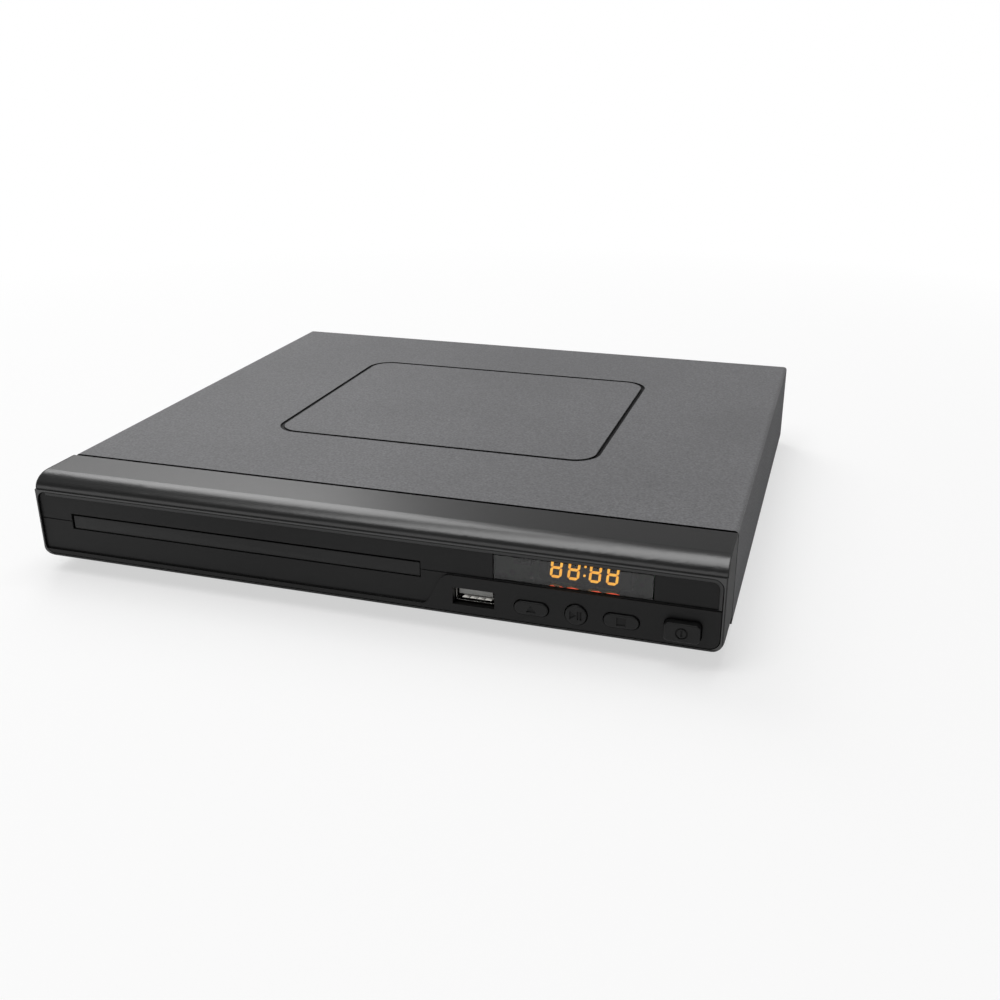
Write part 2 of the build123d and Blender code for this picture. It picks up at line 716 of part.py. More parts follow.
def front_bezel():
    """Moulded front: hollow, with a pocket and a seat rim for the fascia and two screw lugs."""
    body = Pos(-HALF, 0, 0) * (Plane.YZ * extrude(bezel_section(), WIDTH))
    ends = body.edges().filter_by(lambda edge: abs(edge.center().X) > HALF - FIT)
    body = fillet(ends.filter_by(lambda edge: edge.center().Z < EDGE_Z), LOWER_RADIUS)
    plan = Pos(0, SEAM, 0) * extrude(RectangleRounded(WIDTH, 2 * (SEAM - FRONT), CORNER_RADIUS), TOP_Z + 1)
    body &= plan
    body -= block(-HALF - 1, HALF + 1, SEAM, SEAM + BEZEL_SPARE + 1, CASE_Z - 1, TOP_Z + 1)
    inner = HALF - BEZEL_WALL
    body -= block(-inner, inner, SEAT_BACK, SEAM + 1, CASE_Z + BEZEL_WALL, TOP_Z - BEZEL_WALL)
    body -= block(-inner, inner, CHIN_DEPTH + FIT, SEAM + 1, CASE_Z - 1, CASE_Z + BEZEL_WALL + 1)
    body -= panel(FASCIA_WIDTH, FASCIA_TALL, FASCIA_RADIUS, 0, FASCIA_Z, FRONT - 1, FASCIA_BACK)
    rim = 2 * SEAT_RIM
    body -= panel(FASCIA_WIDTH - rim, FASCIA_TALL - rim, FASCIA_RADIUS, 0, FASCIA_Z, FASCIA_FRONT, SEAT_BACK + 1)
    room = FLANGE_WIDE + 2 * FIT
    y0, y1 = FASCIA_BACK - FIT, SEAT_BACK + 1
    for name, x, width, tall, radius, proud, travel in BUTTONS:
        body -= panel(width + 2 * room, tall + 2 * room, radius + room, x, BUTTON_Z, y0, y1)
    body -= port_hole(FASCIA_FRONT, SEAT_BACK + 1)
    for side in (-1, 1):
        edges = sorted((side * inner, side * (inner - BEZEL_LUG)))
        lug = block(*edges, CHIN_DEPTH + 1.0, SEAM, FLOOR_Z, FLOOR_Z + BEZEL_LUG)
        bore = SCREW_RADIUS + RUNNING_FIT
        body += lug - post(side * BEZEL_SCREW_X, BEZEL_SCREW_Y, FLOOR_Z - 1, FLOOR_Z + BEZEL_LUG - 1, bore)
    return body


def fascia_band():
    """The slightly proud band at the lower right, whose S-shaped left edge runs out in a strip along the bottom."""
    foot_z, top_z = EDGE_Z + BAND_FOOT, EDGE_Z + BAND_TOP
    right = FASCIA_WIDTH / 2
    sweep = BAND_SHOULDER - BAND_LEFT
    edges = [
        Bezier((BAND_LEFT, foot_z), (BAND_LEFT + 0.4 * sweep, foot_z + 0.4),
               (BAND_SHOULDER - 0.5 * sweep, top_z - 0.4), (BAND_SHOULDER, top_z)),
        Line((BAND_SHOULDER, top_z), (right, top_z)),
        Line((right, top_z), (right, EDGE_Z)),
        Line((right, EDGE_Z), (-right, EDGE_Z)),
        Line((-right, EDGE_Z), (-right, foot_z)),
        Line((-right, foot_z), (BAND_LEFT, foot_z)),
    ]
    band = Pos(0, FASCIA_FRONT, 0) * Rot(90, 0, 0) * extrude(make_face(edges), FASCIA_RECESS)
    width, tall = FASCIA_WIDTH - 2 * BAND_MARGIN, FASCIA_TALL - 2 * BAND_MARGIN
    return band & panel(width, tall, FASCIA_RADIUS - BAND_MARGIN, 0, FASCIA_Z, FRONT - 1, FASCIA_BACK)


def fascia_plate():
    """Black front plate with the tray slot, window, socket and button holes, and the board posts."""
    width, tall, corner = FASCIA_WIDTH - FIT, FASCIA_TALL - FIT, FASCIA_RADIUS - FIT / 2
    body = panel(width, tall, corner, 0, FASCIA_Z, FASCIA_FRONT, FASCIA_BACK)
    body += fascia_band()
    seam_z = EDGE_Z + SEAM_LINE_HEIGHT
    half_line = SEAM_LINE_WIDTH / 2
    line_back = FASCIA_FRONT + SEAM_LINE_SINK
    body -= block(-HALF, HALF, FRONT - 1, line_back, seam_z - half_line, seam_z + half_line)
    y0, y1 = FRONT - 1, FASCIA_BACK + 1
    body -= block(TRAY_X - SLOT_WIDTH / 2, TRAY_X + SLOT_WIDTH / 2, y0, y1, SLOT_Z, SLOT_TOP)
    body -= block(WINDOW_LEFT, WINDOW_LEFT + WINDOW_WIDTH, y0, y1, seam_z, seam_z + WINDOW_HEIGHT)
    body -= port_hole(y0, y1)
    for name, x, width, tall, radius, proud, travel in BUTTONS:
        body -= panel(width + 2 * FIT, tall + 2 * FIT, radius + FIT, x, BUTTON_Z, y0, y1)
    hole_front = FRONT_BOARD_Y + BOARD_THICK - SCREW_LENGTH - 1
    for x, z in POST_PLACES:
        stud = peg(x, z, FASCIA_BACK, FRONT_BOARD_Y, POST_RADIUS)
        body += stud - peg(x, z, hole_front, FRONT_BOARD_Y + 1, SCREW_RADIUS + RUNNING_FIT)
    return body


def display_window():
    seam_z = EDGE_Z + SEAM_LINE_HEIGHT
    return block(WINDOW_LEFT + WINDOW_GAP, WINDOW_LEFT + WINDOW_WIDTH - WINDOW_GAP, FASCIA_FRONT, FASCIA_BACK,
                 seam_z + WINDOW_GAP, seam_z + WINDOW_HEIGHT - WINDOW_GAP)


def feet():
    def foot(x, y):
        pad = post(x, y, 0, FOOT_HEIGHT, FOOT_RADIUS)
        return chamfer(pad.edges().group_by(Axis.Z)[0], FOOT_CHAMFER)
    return group([foot(x, y) for x, y in FOOT_PLACES])


# Screws
def screws_down(places, z, length):
    return group([Pos(x, y, z) * screw(length) for x, y in places])


def cover_screws():
    return group([Pos(x, DEPTH, COVER_SCREW_Z) * Rot(-90, 0, 0) * screw(SCREW_LENGTH) for x in COVER_SCREW_XS])


def bezel_screws():
    places = [(side * BEZEL_SCREW_X, BEZEL_SCREW_Y) for side in (-1, 1)]
    return group([Pos(x, y, CASE_Z) * Rot(180, 0, 0) * screw(SCREW_LENGTH) for x, y in places])


def front_board_screws():
    back = FRONT_BOARD_Y + BOARD_THICK
    return group([Pos(x, back, z) * Rot(-90, 0, 0) * screw(SCREW_LENGTH) for x, z in POST_PLACES])


# Buttons and front electronics
def symbol_cut(name, x, front):
    """The sunk mark on a button: triangle, triangle with two bars, square, or ring with a bar."""
    y0, y1 = front - 1, front + SYMBOL_SINK
    z = BUTTON_Z
    if name == "eject":
        half = EJECT_MARK / 2
        return front_plate([(x - half, z - half * 0.8), (x + half, z - half * 0.8), (x, z + half * 0.8)], y0, y1)
    if name == "play":
        half = PLAY_MARK / 2
        left = x - 1.3 * half
        arrow = front_plate([(left, z - half), (left, z + half), (x + 0.1 * half, z)], y0, y1)
        bars = [block(x + share * half, x + (share + 0.35) * half, y0, y1, z - half, z + half) for share in (0.3, 0.95)]
        return arrow + bars
    if name == "stop":
        half = STOP_MARK / 2
        return block(x - half, x + half, y0, y1, z - half, z + half)
    half = POWER_MARK / 2
    ring = peg(x, z, y0, y1, half) - peg(x, z, y0 - 1, y1 + 1, half * 0.76)
    return ring + block(x - half * 0.13, x + half * 0.13, y0, y1, z - half * 0.58, z + half * 0.58)


def stem_end(travel):
    return SWITCH_FRONT - travel - STEM_GAP


def button_cap(name, x, width, tall, radius, proud, travel):
    """Cap with softened front edges, a retaining flange and a stem that pushes the switch."""
    flange_front = FASCIA_BACK + FIT
    front = FRONT - proud
    cap = panel(width, tall, radius, x, BUTTON_Z, front, flange_front)
    cap = fillet(cap.edges().group_by(Axis.Y)[0], CAP_ROUND)
    wide = 2 * FLANGE_WIDE
    flange_back = flange_front + FLANGE_THICK
    cap += panel(width + wide, tall + wide, radius + FLANGE_WIDE, x, BUTTON_Z, flange_front, flange_back)
    cap += peg(x, BUTTON_Z, flange_front, stem_end(travel), STEM_RADIUS)
    return cap - symbol_cut(name, x, front)


def switch_plunger(x, travel):
    return peg(x, BUTTON_Z, stem_end(travel), SWITCH_FRONT + PLUNGER_SINK, STEM_RADIUS - FIT)


def key_switches():
    """Four switch bodies on the front board, each with a bore for its plunger."""
    half = SWITCH_SIZE / 2
    bodies = []
    for name, x, width, tall, radius, proud, travel in BUTTONS:
        box = block(x - half, x + half, SWITCH_FRONT, FRONT_BOARD_Y, BUTTON_Z - half, BUTTON_Z + half)
        depth = PLUNGER_SINK + travel + FIT
        bodies.append(box - peg(x, BUTTON_Z, SWITCH_FRONT - 1, SWITCH_FRONT + depth, STEM_RADIUS))
    return group(bodies)


def front_board():
    back = FRONT_BOARD_Y + BOARD_THICK
    board = block(FRONT_BOARD_LEFT, FRONT_BOARD_RIGHT, FRONT_BOARD_Y, back, FRONT_BOARD_BOTTOM, FRONT_BOARD_TOP)
    for x, z in POST_PLACES:
        board -= peg(x, z, FRONT_BOARD_Y - 1, back + 1, SCREW_RADIUS + RUNNING_FIT)
    return board


DISPLAY_FRONT = FASCIA_FRONT + DISPLAY_SET_BACK
DISPLAY_Z = EDGE_Z + SEAM_LINE_HEIGHT + WINDOW_HEIGHT / 2 + 0.4


def led_display():
    half = DISPLAY_WIDTH / 2
    return block(DISPLAY_X - half, DISPLAY_X + half, DISPLAY_FRONT, FRONT_BOARD_Y,
                 DISPLAY_Z - DISPLAY_TALL / 2, DISPLAY_Z + DISPLAY_TALL / 2)


def segment(x, z, length, upright):
    """One pointed bar of a seven-segment digit, which leans a little to the right."""
    a, b = length / 2, SEGMENT_WIDTH / 2
    outline = [(-a, 0), (-a + b, b), (a - b, b), (a, 0), (a - b, -b), (-a + b, -b)]
    points = [(x + v, z + u) if upright else (x + u, z + v) for u, v in outline]
    points = [(px + DIGIT_LEAN * (pz - DISPLAY_Z), pz) for px, pz in points]
    return front_plate(points, DISPLAY_FRONT - SEGMENT_THICK, DISPLAY_FRONT)


def led_segments():
    """Four seven-segment digits with a colon between the pairs."""
    wide = DIGIT_WIDTH - SEGMENT_WIDTH
    tall = (DIGIT_TALL - SEGMENT_WIDTH) / 2
    bars = []
    for pitch in DIGIT_PITCHES:
        x = DISPLAY_X + pitch
        bars += [segment(x, DISPLAY_Z + row * tall, wide - SEGMENT_GAP, False) for row in (-1, 0, 1)]
        for side in (-1, 1):
            for row in (-0.5, 0.5):
                bars.append(segment(x + side * wide / 2, DISPLAY_Z + row * tall, tall - SEGMENT_GAP, True))
    front, dot = DISPLAY_FRONT - SEGMENT_THICK, SEGMENT_WIDTH / 2
    dots = [peg(DISPLAY_X + DIGIT_LEAN * side * tall / 2, DISPLAY_Z + side * tall / 2, front, DISPLAY_FRONT, dot)
            for side in (-1, 1)]
    return group(bars + dots)


def ir_receiver():
    """Infrared receiver: a block with a domed lens towards the window."""
    half = RECEIVER_SIZE / 2
    front = FRONT_BOARD_Y - RECEIVER_SIZE
    box = block(RECEIVER_X - half, RECEIVER_X + half, front, FRONT_BOARD_Y, DISPLAY_Z - half, DISPLAY_Z + half)
    return box + Pos(RECEIVER_X, front, DISPLAY_Z) * Sphere(half * 0.8)


PORT_X = PORT_LEFT + PORT_WIDTH / 2
PORT_Z = EDGE_Z + PORT_BOTTOM + PORT_HEIGHT / 2


def port_shell():
    """Pressed metal sleeve of the front data socket."""
    wide, tall = PORT_WIDTH - 2 * FIT, PORT_HEIGHT - 2 * FIT
    mouth = FRONT + PORT_SINK
    sleeve = panel(wide, tall, PORT_ROUND, PORT_X, PORT_Z, mouth, FRONT_BOARD_Y)
    wall = 2 * PORT_WALL
    hollow = panel(wide - wall, tall - wall, PORT_ROUND - PORT_WALL, PORT_X, PORT_Z, mouth - 1, FRONT_BOARD_Y + 1)
    return sleeve - hollow


def port_tongue():
    """Insulator of the front data socket: a back block and the contact tongue."""
    wide, tall = PORT_WIDTH - 2 * FIT - 2 * PORT_WALL, PORT_HEIGHT - 2 * FIT - 2 * PORT_WALL
    root = FRONT_BOARD_Y - PORT_ROOT
    back = panel(wide - FIT, tall - FIT, PORT_WALL, PORT_X, PORT_Z, root, FRONT_BOARD_Y)
    half = wide / 2 - 2 * PORT_WALL
    tip = FRONT + PORT_SINK + TONGUE_SINK
    return back + block(PORT_X - half, PORT_X + half, tip, root, PORT_Z - FIT, PORT_Z - FIT + PORT_TONGUE)


# Loader: frame, tray and drive
CAM_Y = CAM_FRONT + CAM_THICK / 2
CAM_DROP = (PIVOT_Y - CAM_Y) * sin(radians(TILT))
PULLEY_TOP = PULLEY_BOTTOM + PULLEY_TALL
BRIDGE_TOP = BRIDGE_BOTTOM + BRIDGE_THICK


def beside_tray(side, inner, outer, y0, y1, z0, z1):
    """A block on one side of the tray's middle line, between two distances from it."""
    x0, x1 = sorted((TRAY_X + side * inner, TRAY_X + side * outer))
    return block(x0, x1, y0, y1, z0, z1)


def loader_rail(side):
    """Side wall with the ledge that carries the tray and the tabs that hold it down."""
    rail = beside_tray(side, RAIL_INNER, RAIL_OUTER, RAIL_FRONT, RAIL_REAR, RAIL_BOTTOM, RAIL_TOP)
    ledge_top = TRAY_Z - FIT
    reach = (RAIL_INNER - LEDGE_WIDE, RAIL_INNER)
    rail += beside_tray(side, *reach, RAIL_FRONT, RAIL_REAR, ledge_top - LEDGE_TALL, ledge_top)
    tab_z = TRAY_TOP + FIT
    for start in TAB_STARTS:
        rail += beside_tray(side, *reach, start, start + TAB_LENGTH, tab_z, tab_z + LEDGE_TALL)
    return rail


def loader_lug(x, y):
    """Screw lug that stands on the case floor, joined to the rail beside it."""
    rail_x = TRAY_X + RAIL_OUTER if x > TRAY_X else TRAY_X - RAIL_OUTER
    lug = post(x, y, FLOOR_Z, LUG_TOP, LUG_RADIUS)
    web = block(*sorted((rail_x, x)), y - LUG_RADIUS, y + LUG_RADIUS, RAIL_BOTTOM, LUG_TOP)
    return lug + web - post(x, y, FLOOR_Z - 1, LUG_TOP + 1, SCREW_RADIUS + RUNNING_FIT)


def cam_guide():
    """Wall, ledge and lip in which the cam slider runs sideways."""
    x0 = TRAY_X + CAM_LEFT - CAM_GUIDE_SPARE
    x1 = TRAY_X + CAM_RIGHT + CAM_TRAVEL + CAM_GUIDE_SPARE
    lip = CAM_FRONT + CAM_THICK + FIT
    ledge_top = CAM_BOTTOM - FIT
    wall = block(x0, x1, DECK_REAR, CAM_FRONT - FIT, FLOOR_Z, DECK_TOP)
    ledge = block(x0, x1, DECK_REAR, lip + CAM_LIP, FLOOR_Z, ledge_top)
    return wall + ledge + block(x0, x1, lip, lip + CAM_LIP, ledge_top, CAM_BOTTOM + CAM_LIP_RISE)


def loader_frame():
    """Moulded frame: two rails, gear deck, cam guide, rear bar, screw lugs and traverse bearings."""
    body = loader_rail(-1) + loader_rail(1)
    body += block(TRAY_X - RAIL_INNER, TRAY_X + RAIL_INNER, DECK_FRONT, DECK_REAR, DECK_BOTTOM, DECK_TOP)
    body += block(TRAY_X - RAIL_INNER, TRAY_X + RAIL_INNER, RAIL_REAR - REAR_BAR, RAIL_REAR, RAIL_BOTTOM, PIN_Z)
    body += cam_guide()
    for x in (TRAY_GEAR_X, PULLEY_X):
        body += post(TRAY_X + x, GEAR_Y, DECK_TOP - 0.5, GEAR_TOP, GEAR_POST_RADIUS)
    for x, y in LUG_PLACES:
        body += loader_lug(x, y)
    body -= post(TRAY_X + LOADER_MOTOR_X, GEAR_Y, DECK_BOTTOM - 1, DECK_TOP + 1, MOTOR_SHAFT_RADIUS + 1)
    body -= axle(PIVOT_Y, PIN_Z, TRAY_X - RAIL_OUTER - 1, TRAY_X + RAIL_OUTER + 1, PIVOT_RADIUS + RUNNING_FIT)
    return body


def disc_tray():
    """Tray with two disc recesses, a cut-out for the turntable and pickup, and the drive rack."""
    body = block(TRAY_X - TRAY_HALF, TRAY_X + TRAY_HALF, TRAY_FRONT, TRAY_REAR, TRAY_Z, TRAY_TOP)
    floor = TRAY_TOP - DISC_RECESS
    body -= post(TRAY_X, DISC_CENTRE_Y, floor, TRAY_TOP + 1, DISC_DIAMETER / 2 + DISC_GAP)
    body -= post(TRAY_X, DISC_CENTRE_Y, floor - SMALL_RECESS, TRAY_TOP + 1, SMALL_DISC_DIAMETER / 2)
    half = TRAY_CUTOUT / 2
    body -= post(TRAY_X, DISC_CENTRE_Y, TRAY_Z - 1, TRAY_TOP + 1, half)
    body -= block(TRAY_X - half, TRAY_X + half, DISC_CENTRE_Y, TRAY_REAR + 1, TRAY_Z - 1, TRAY_TOP + 1)
    return body + rack(-1, GEAR_MODULE, BACKLASH, TRAY_X + RACK_X, GEAR_Y, TRAY_FRONT + RACK_START, TRAY_REAR,
                       TRAY_Z - RACK_TALL, TRAY_Z, RACK_BACK)


def tray_door():
    width, tall = SLOT_WIDTH - 2 * DOOR_GAP, SLOT_HEIGHT - 2 * DOOR_GAP
    z = (SLOT_Z + SLOT_TOP) / 2
    door = panel(width, tall, DOOR_ROUND, TRAY_X, z, FASCIA_FRONT + DOOR_SINK, TRAY_FRONT)
    return fillet(door.edges().group_by(Axis.Y)[0], DOOR_ROUND / 2)


def loader_motor():
    x = TRAY_X + LOADER_MOTOR_X
    can = post(x, GEAR_Y, DECK_BOTTOM - LOADER_MOTOR_TALL, DECK_BOTTOM, LOADER_MOTOR_RADIUS)
    can = fillet(can.edges().group_by(Axis.Z)[0], MOTOR_ROUND)
    return can + post(x, GEAR_Y, DECK_BOTTOM, PULLEY_TOP, MOTOR_SHAFT_RADIUS)


def pulley(x, radius, bore):
    """A grooved pulley on the gear deck."""
    wheel = post(x, GEAR_Y, PULLEY_BOTTOM, PULLEY_TOP, radius)
    groove = post(x, GEAR_Y, PULLEY_BOTTOM + PULLEY_FLANGE, PULLEY_TOP - PULLEY_FLANGE, radius + 1)
    groove -= post(x, GEAR_Y, PULLEY_BOTTOM, PULLEY_TOP, radius - PULLEY_GROOVE)
    return wheel - groove - post(x, GEAR_Y, PULLEY_BOTTOM - 1, PULLEY_TOP + 1, bore)


def motor_pulley():
    return pulley(TRAY_X + LOADER_MOTOR_X, MOTOR_PULLEY_RADIUS, MOTOR_SHAFT_RADIUS + RUNNING_FIT)


def pulley_gear():
    """Belt pulley with a pinion on top; a gap of the pinion faces the tray gear."""
    x = TRAY_X + PULLEY_X
    bore = GEAR_POST_RADIUS + RUNNING_FIT
    pinion = gear(PINION_TEETH, GEAR_MODULE, BACKLASH, pi / PINION_TEETH, x, GEAR_Y, PULLEY_TOP, GEAR_TOP)
    return pulley(x, PULLEY_RADIUS, bore) + pinion - post(x, GEAR_Y, PULLEY_BOTTOM - 1, GEAR_TOP + 1, bore)


def tray_gear():
    """Gear between the pinion and the rack of the tray, with a hub down to the deck."""
    x = TRAY_X + TRAY_GEAR_X
    wheel = gear(TRAY_GEAR_TEETH, GEAR_MODULE, BACKLASH, 0, x, GEAR_Y, GEAR_BOTTOM, GEAR_TOP)
    hub = post(x, GEAR_Y, DECK_TOP + FIT, GEAR_BOTTOM, HUB_RADIUS)
    return wheel + hub - post(x, GEAR_Y, DECK_TOP, GEAR_TOP + 1, GEAR_POST_RADIUS + RUNNING_FIT)


def drive_belt():
    """Square rubber belt round the two pulleys."""
    def loop(extra):
        big = Pos(TRAY_X + PULLEY_X, GEAR_Y) * Circle(PULLEY_RADIUS - PULLEY_GROOVE + extra)
        small = Pos(TRAY_X + LOADER_MOTOR_X, GEAR_Y) * Circle(MOTOR_PULLEY_RADIUS - PULLEY_GROOVE + extra)
        return make_hull(big.edges() + small.edges())
    bottom = PULLEY_BOTTOM + PULLEY_FLANGE + BELT_GAP
    return Pos(0, 0, bottom) * extrude(loop(BELT_GAP + BELT_SIZE) - loop(BELT_GAP), BELT_SIZE)


def cam_slider():
    """Sliding plate with two sloping slots that lift the front of the traverse."""
    back = CAM_FRONT + CAM_THICK
    plate = block(TRAY_X + CAM_LEFT, TRAY_X + CAM_RIGHT, CAM_FRONT, back, CAM_BOTTOM, CAM_TOP)
    length = sqrt(CAM_TRAVEL**2 + CAM_DROP**2)
    slope = degrees(atan2(CAM_DROP, CAM_TRAVEL))
    outline = Rot(0, 0, slope) * SlotCenterToCenter(length, 2 * (CAM_PIN_RADIUS + FIT))
    for x in CAM_PIN_XS:
        middle = Pos(TRAY_X + x - CAM_TRAVEL / 2, back + 1, PIN_Z - CAM_DROP / 2)
        plate -= middle * Rot(90, 0, 0) * extrude(outline, CAM_THICK + 2)
    return plate


# Traverse with the spindle
CORNER_XS = [TRAY_X + side * (TRAVERSE_HALF - TRAVERSE_BAR / 2) for side in (-1, 1)]
CORNER_YS = (TRAVERSE_FRONT + TRAVERSE_BAR / 2, TRAVERSE_REAR - TRAVERSE_BAR / 2)
CORNERS = [(x, y) for x in CORNER_XS for y in CORNER_YS]
CORNER_BORE = SCREW_RADIUS + RUNNING_FIT


def traverse_frame():
    """Tilting ring with pivot pins near the rear and cam pins at the front."""
    outer, inner = TRAVERSE_HALF, TRAVERSE_HALF - TRAVERSE_BAR
    front, rear = TRAVERSE_FRONT, TRAVERSE_REAR
    ring = block(TRAY_X - outer, TRAY_X + outer, front, rear, TRAVERSE_BOTTOM, RING_TOP)
    y0, y1 = front + TRAVERSE_BAR, rear - TRAVERSE_BAR
    ring -= block(TRAY_X - inner, TRAY_X + inner, y0, y1, TRAVERSE_BOTTOM - 1, RING_TOP + 1)
    for side in (-1, 1):
        ends = sorted((TRAY_X + side * (outer - 1), TRAY_X + side * (RAIL_OUTER - FIT)))
        ring += axle(PIVOT_Y, PIN_Z, *ends, PIVOT_RADIUS)
    for x in CAM_PIN_XS:
        ring += peg(TRAY_X + x, PIN_Z, CAM_FRONT + FIT, front + 1, CAM_PIN_RADIUS)
    for x, y in CORNERS:
        ring -= post(x, y, TRAVERSE_BOTTOM - 1, RING_TOP + 3, CORNER_BORE)
    return ring


def dampers():
    discs = [post(x, y, RING_TOP, PLATE_BOTTOM, DAMPER_RADIUS) for x, y in CORNERS]
    bores = [post(x, y, RING_TOP - 1, PLATE_TOP, CORNER_BORE) for x, y in CORNERS]
    return group([disc - bore for disc, bore in zip(discs, bores)])


def rod_blocks():
    """Blocks under the plate that hold the ends of the guide rods."""
    blocks = []
    half = ROD_RADIUS + ROD_GRIP
    bore = ROD_RADIUS + RUNNING_FIT
    for side in (-1, 1):
        for y in (ROD_FRONT, ROD_REAR - ROD_BLOCK):
            grip = beside_tray(side, ROD_X - half, ROD_X + half, y, y + ROD_BLOCK, ROD_Z - half, PLATE_BOTTOM)
            blocks.append(grip - peg(TRAY_X + side * ROD_X, ROD_Z, y - 1, y + ROD_BLOCK + 1, bore))
    return blocks


def mech_plate():
    """Plate that carries the spindle motor, the guide rods and the sled drive."""
    x0, x1 = TRAY_X - TRAVERSE_HALF, TRAY_X + TRAVERSE_HALF
    plate = block(x0, x1, TRAVERSE_FRONT, TRAVERSE_REAR, PLATE_BOTTOM, PLATE_TOP)
    for grip in rod_blocks():
        plate += grip
    plate += post(TRAY_X + SLED_GEAR_X, SLED_GEAR_Y, SLED_GEAR_BOTTOM - FIT, PLATE_BOTTOM, SLED_POST_RADIUS)
    x0, x1 = TRAY_X - OPENING_HALF, TRAY_X + OPENING_HALF
    plate -= block(x0, x1, OPENING_FRONT, OPENING_REAR, PLATE_BOTTOM, PLATE_TOP + 1)
    plate -= post(TRAY_X, DISC_CENTRE_Y, PLATE_BOTTOM - 1, PLATE_TOP + 1, SPINDLE_NECK + FIT)
    for x, y in CORNERS:
        plate -= post(x, y, PLATE_BOTTOM - 1, PLATE_TOP + 1, CORNER_BORE)
    return plate


def mech_screws():
    length = PLATE_THICK + DAMPER_TALL + TRAVERSE_THICK - 0.5
    return group([Pos(x, y, PLATE_TOP) * screw(length, MECH_HEAD_TALL) for x, y in CORNERS])


def spindle_motor():
    x, y = TRAY_X, DISC_CENTRE_Y
    can = post(x, y, PLATE_BOTTOM - SPINDLE_MOTOR_TALL, PLATE_BOTTOM, SPINDLE_MOTOR_RADIUS)
    can = fillet(can.edges().group_by(Axis.Z)[0], MOTOR_ROUND)
    can += post(x, y, PLATE_BOTTOM, PLATE_TOP, SPINDLE_NECK)
    return can + post(x, y, PLATE_TOP, TURNTABLE_SEAT, MOTOR_SHAFT_RADIUS)


def turntable():
    """Disc table with a hub below and a centring cone on top."""
    x, y = TRAY_X, DISC_CENTRE_Y
    table = post(x, y, TURNTABLE_SEAT - TURNTABLE_RIM, TURNTABLE_SEAT, TURNTABLE_RADIUS)
    table += post(x, y, PLATE_TOP + FIT, TURNTABLE_SEAT - TURNTABLE_RIM, CONE_RADIUS)
    table += Pos(x, y, TURNTABLE_SEAT + CONE_TALL / 2) * Cone(CONE_RADIUS, CONE_TIP_RADIUS, CONE_TALL)
    return table - post(x, y, PLATE_TOP, TURNTABLE_SEAT + FIT, MOTOR_SHAFT_RADIUS + RUNNING_FIT)


def turntable_pad():
    x, y = TRAY_X, DISC_CENTRE_Y
    return post(x, y, TURNTABLE_SEAT, TURNTABLE_SEAT + PAD_THICK, TURNTABLE_RADIUS - PAD_INSET) - post(
        x, y, TURNTABLE_SEAT - 1, TURNTABLE_SEAT + 1, CONE_RADIUS + PAD_INSET)


def clamper():
    """Puck that hangs in the bridge: pressing disc, neck and resting flange with a magnet pocket."""
    x, y = TRAY_X, DISC_CENTRE_Y
    flange = BRIDGE_TOP + FIT
    top = flange + CLAMPER_DISC
    body = post(x, y, CLAMPER_BOTTOM, CLAMPER_BOTTOM + CLAMPER_DISC, CLAMPER_RADIUS)
    body += post(x, y, CLAMPER_BOTTOM, flange, CLAMPER_NECK) + post(x, y, flange, top, CLAMPER_RADIUS)
    body -= post(x, y, CLAMPER_BOTTOM - 1, TURNTABLE_SEAT + CONE_TALL + 1, CONE_RADIUS + 2 * FIT)
    return body - post(x, y, top - MAGNET_TALL, top + 1, MAGNET_RADIUS + FIT)


def clamp_magnet():
    x, y = TRAY_X, DISC_CENTRE_Y
    top = BRIDGE_TOP + FIT + CLAMPER_DISC
    return post(x, y, top - MAGNET_TALL, top, MAGNET_RADIUS) - post(x, y, top - 2, top + 1, MAGNET_RADIUS / 2)


def clamper_bridge():
    """Beam across the rails with a hole for the clamper and two stiffening ribs."""
    x0, x1 = TRAY_X - RAIL_OUTER, TRAY_X + RAIL_OUTER
    y0, y1 = DISC_CENTRE_Y - BRIDGE_LENGTH / 2, DISC_CENTRE_Y + BRIDGE_LENGTH / 2
    beam = block(x0, x1, y0, y1, BRIDGE_BOTTOM, BRIDGE_TOP)
    for side in (-1, 1):
        beam += beside_tray(side, RAIL_INNER, RAIL_OUTER, y0, y1, RAIL_TOP, BRIDGE_BOTTOM)
    for y in (y0, y1 - BRIDGE_THICK):
        beam += block(x0, x1, y, y + BRIDGE_THICK, BRIDGE_TOP, BRIDGE_TOP + BRIDGE_RIB)
    return beam - post(TRAY_X, DISC_CENTRE_Y, BRIDGE_BOTTOM - 1, BRIDGE_TOP + 1, CLAMPER_NECK + CLAMPER_PLAY)


# Pickup and its drive
def guide_rods():
    return group([peg(TRAY_X + side * ROD_X, ROD_Z, ROD_FRONT, ROD_REAR, ROD_RADIUS) for side in (-1, 1)])


LENS_BOTTOM = LENS_TOP - LENS_HOLDER_TALL


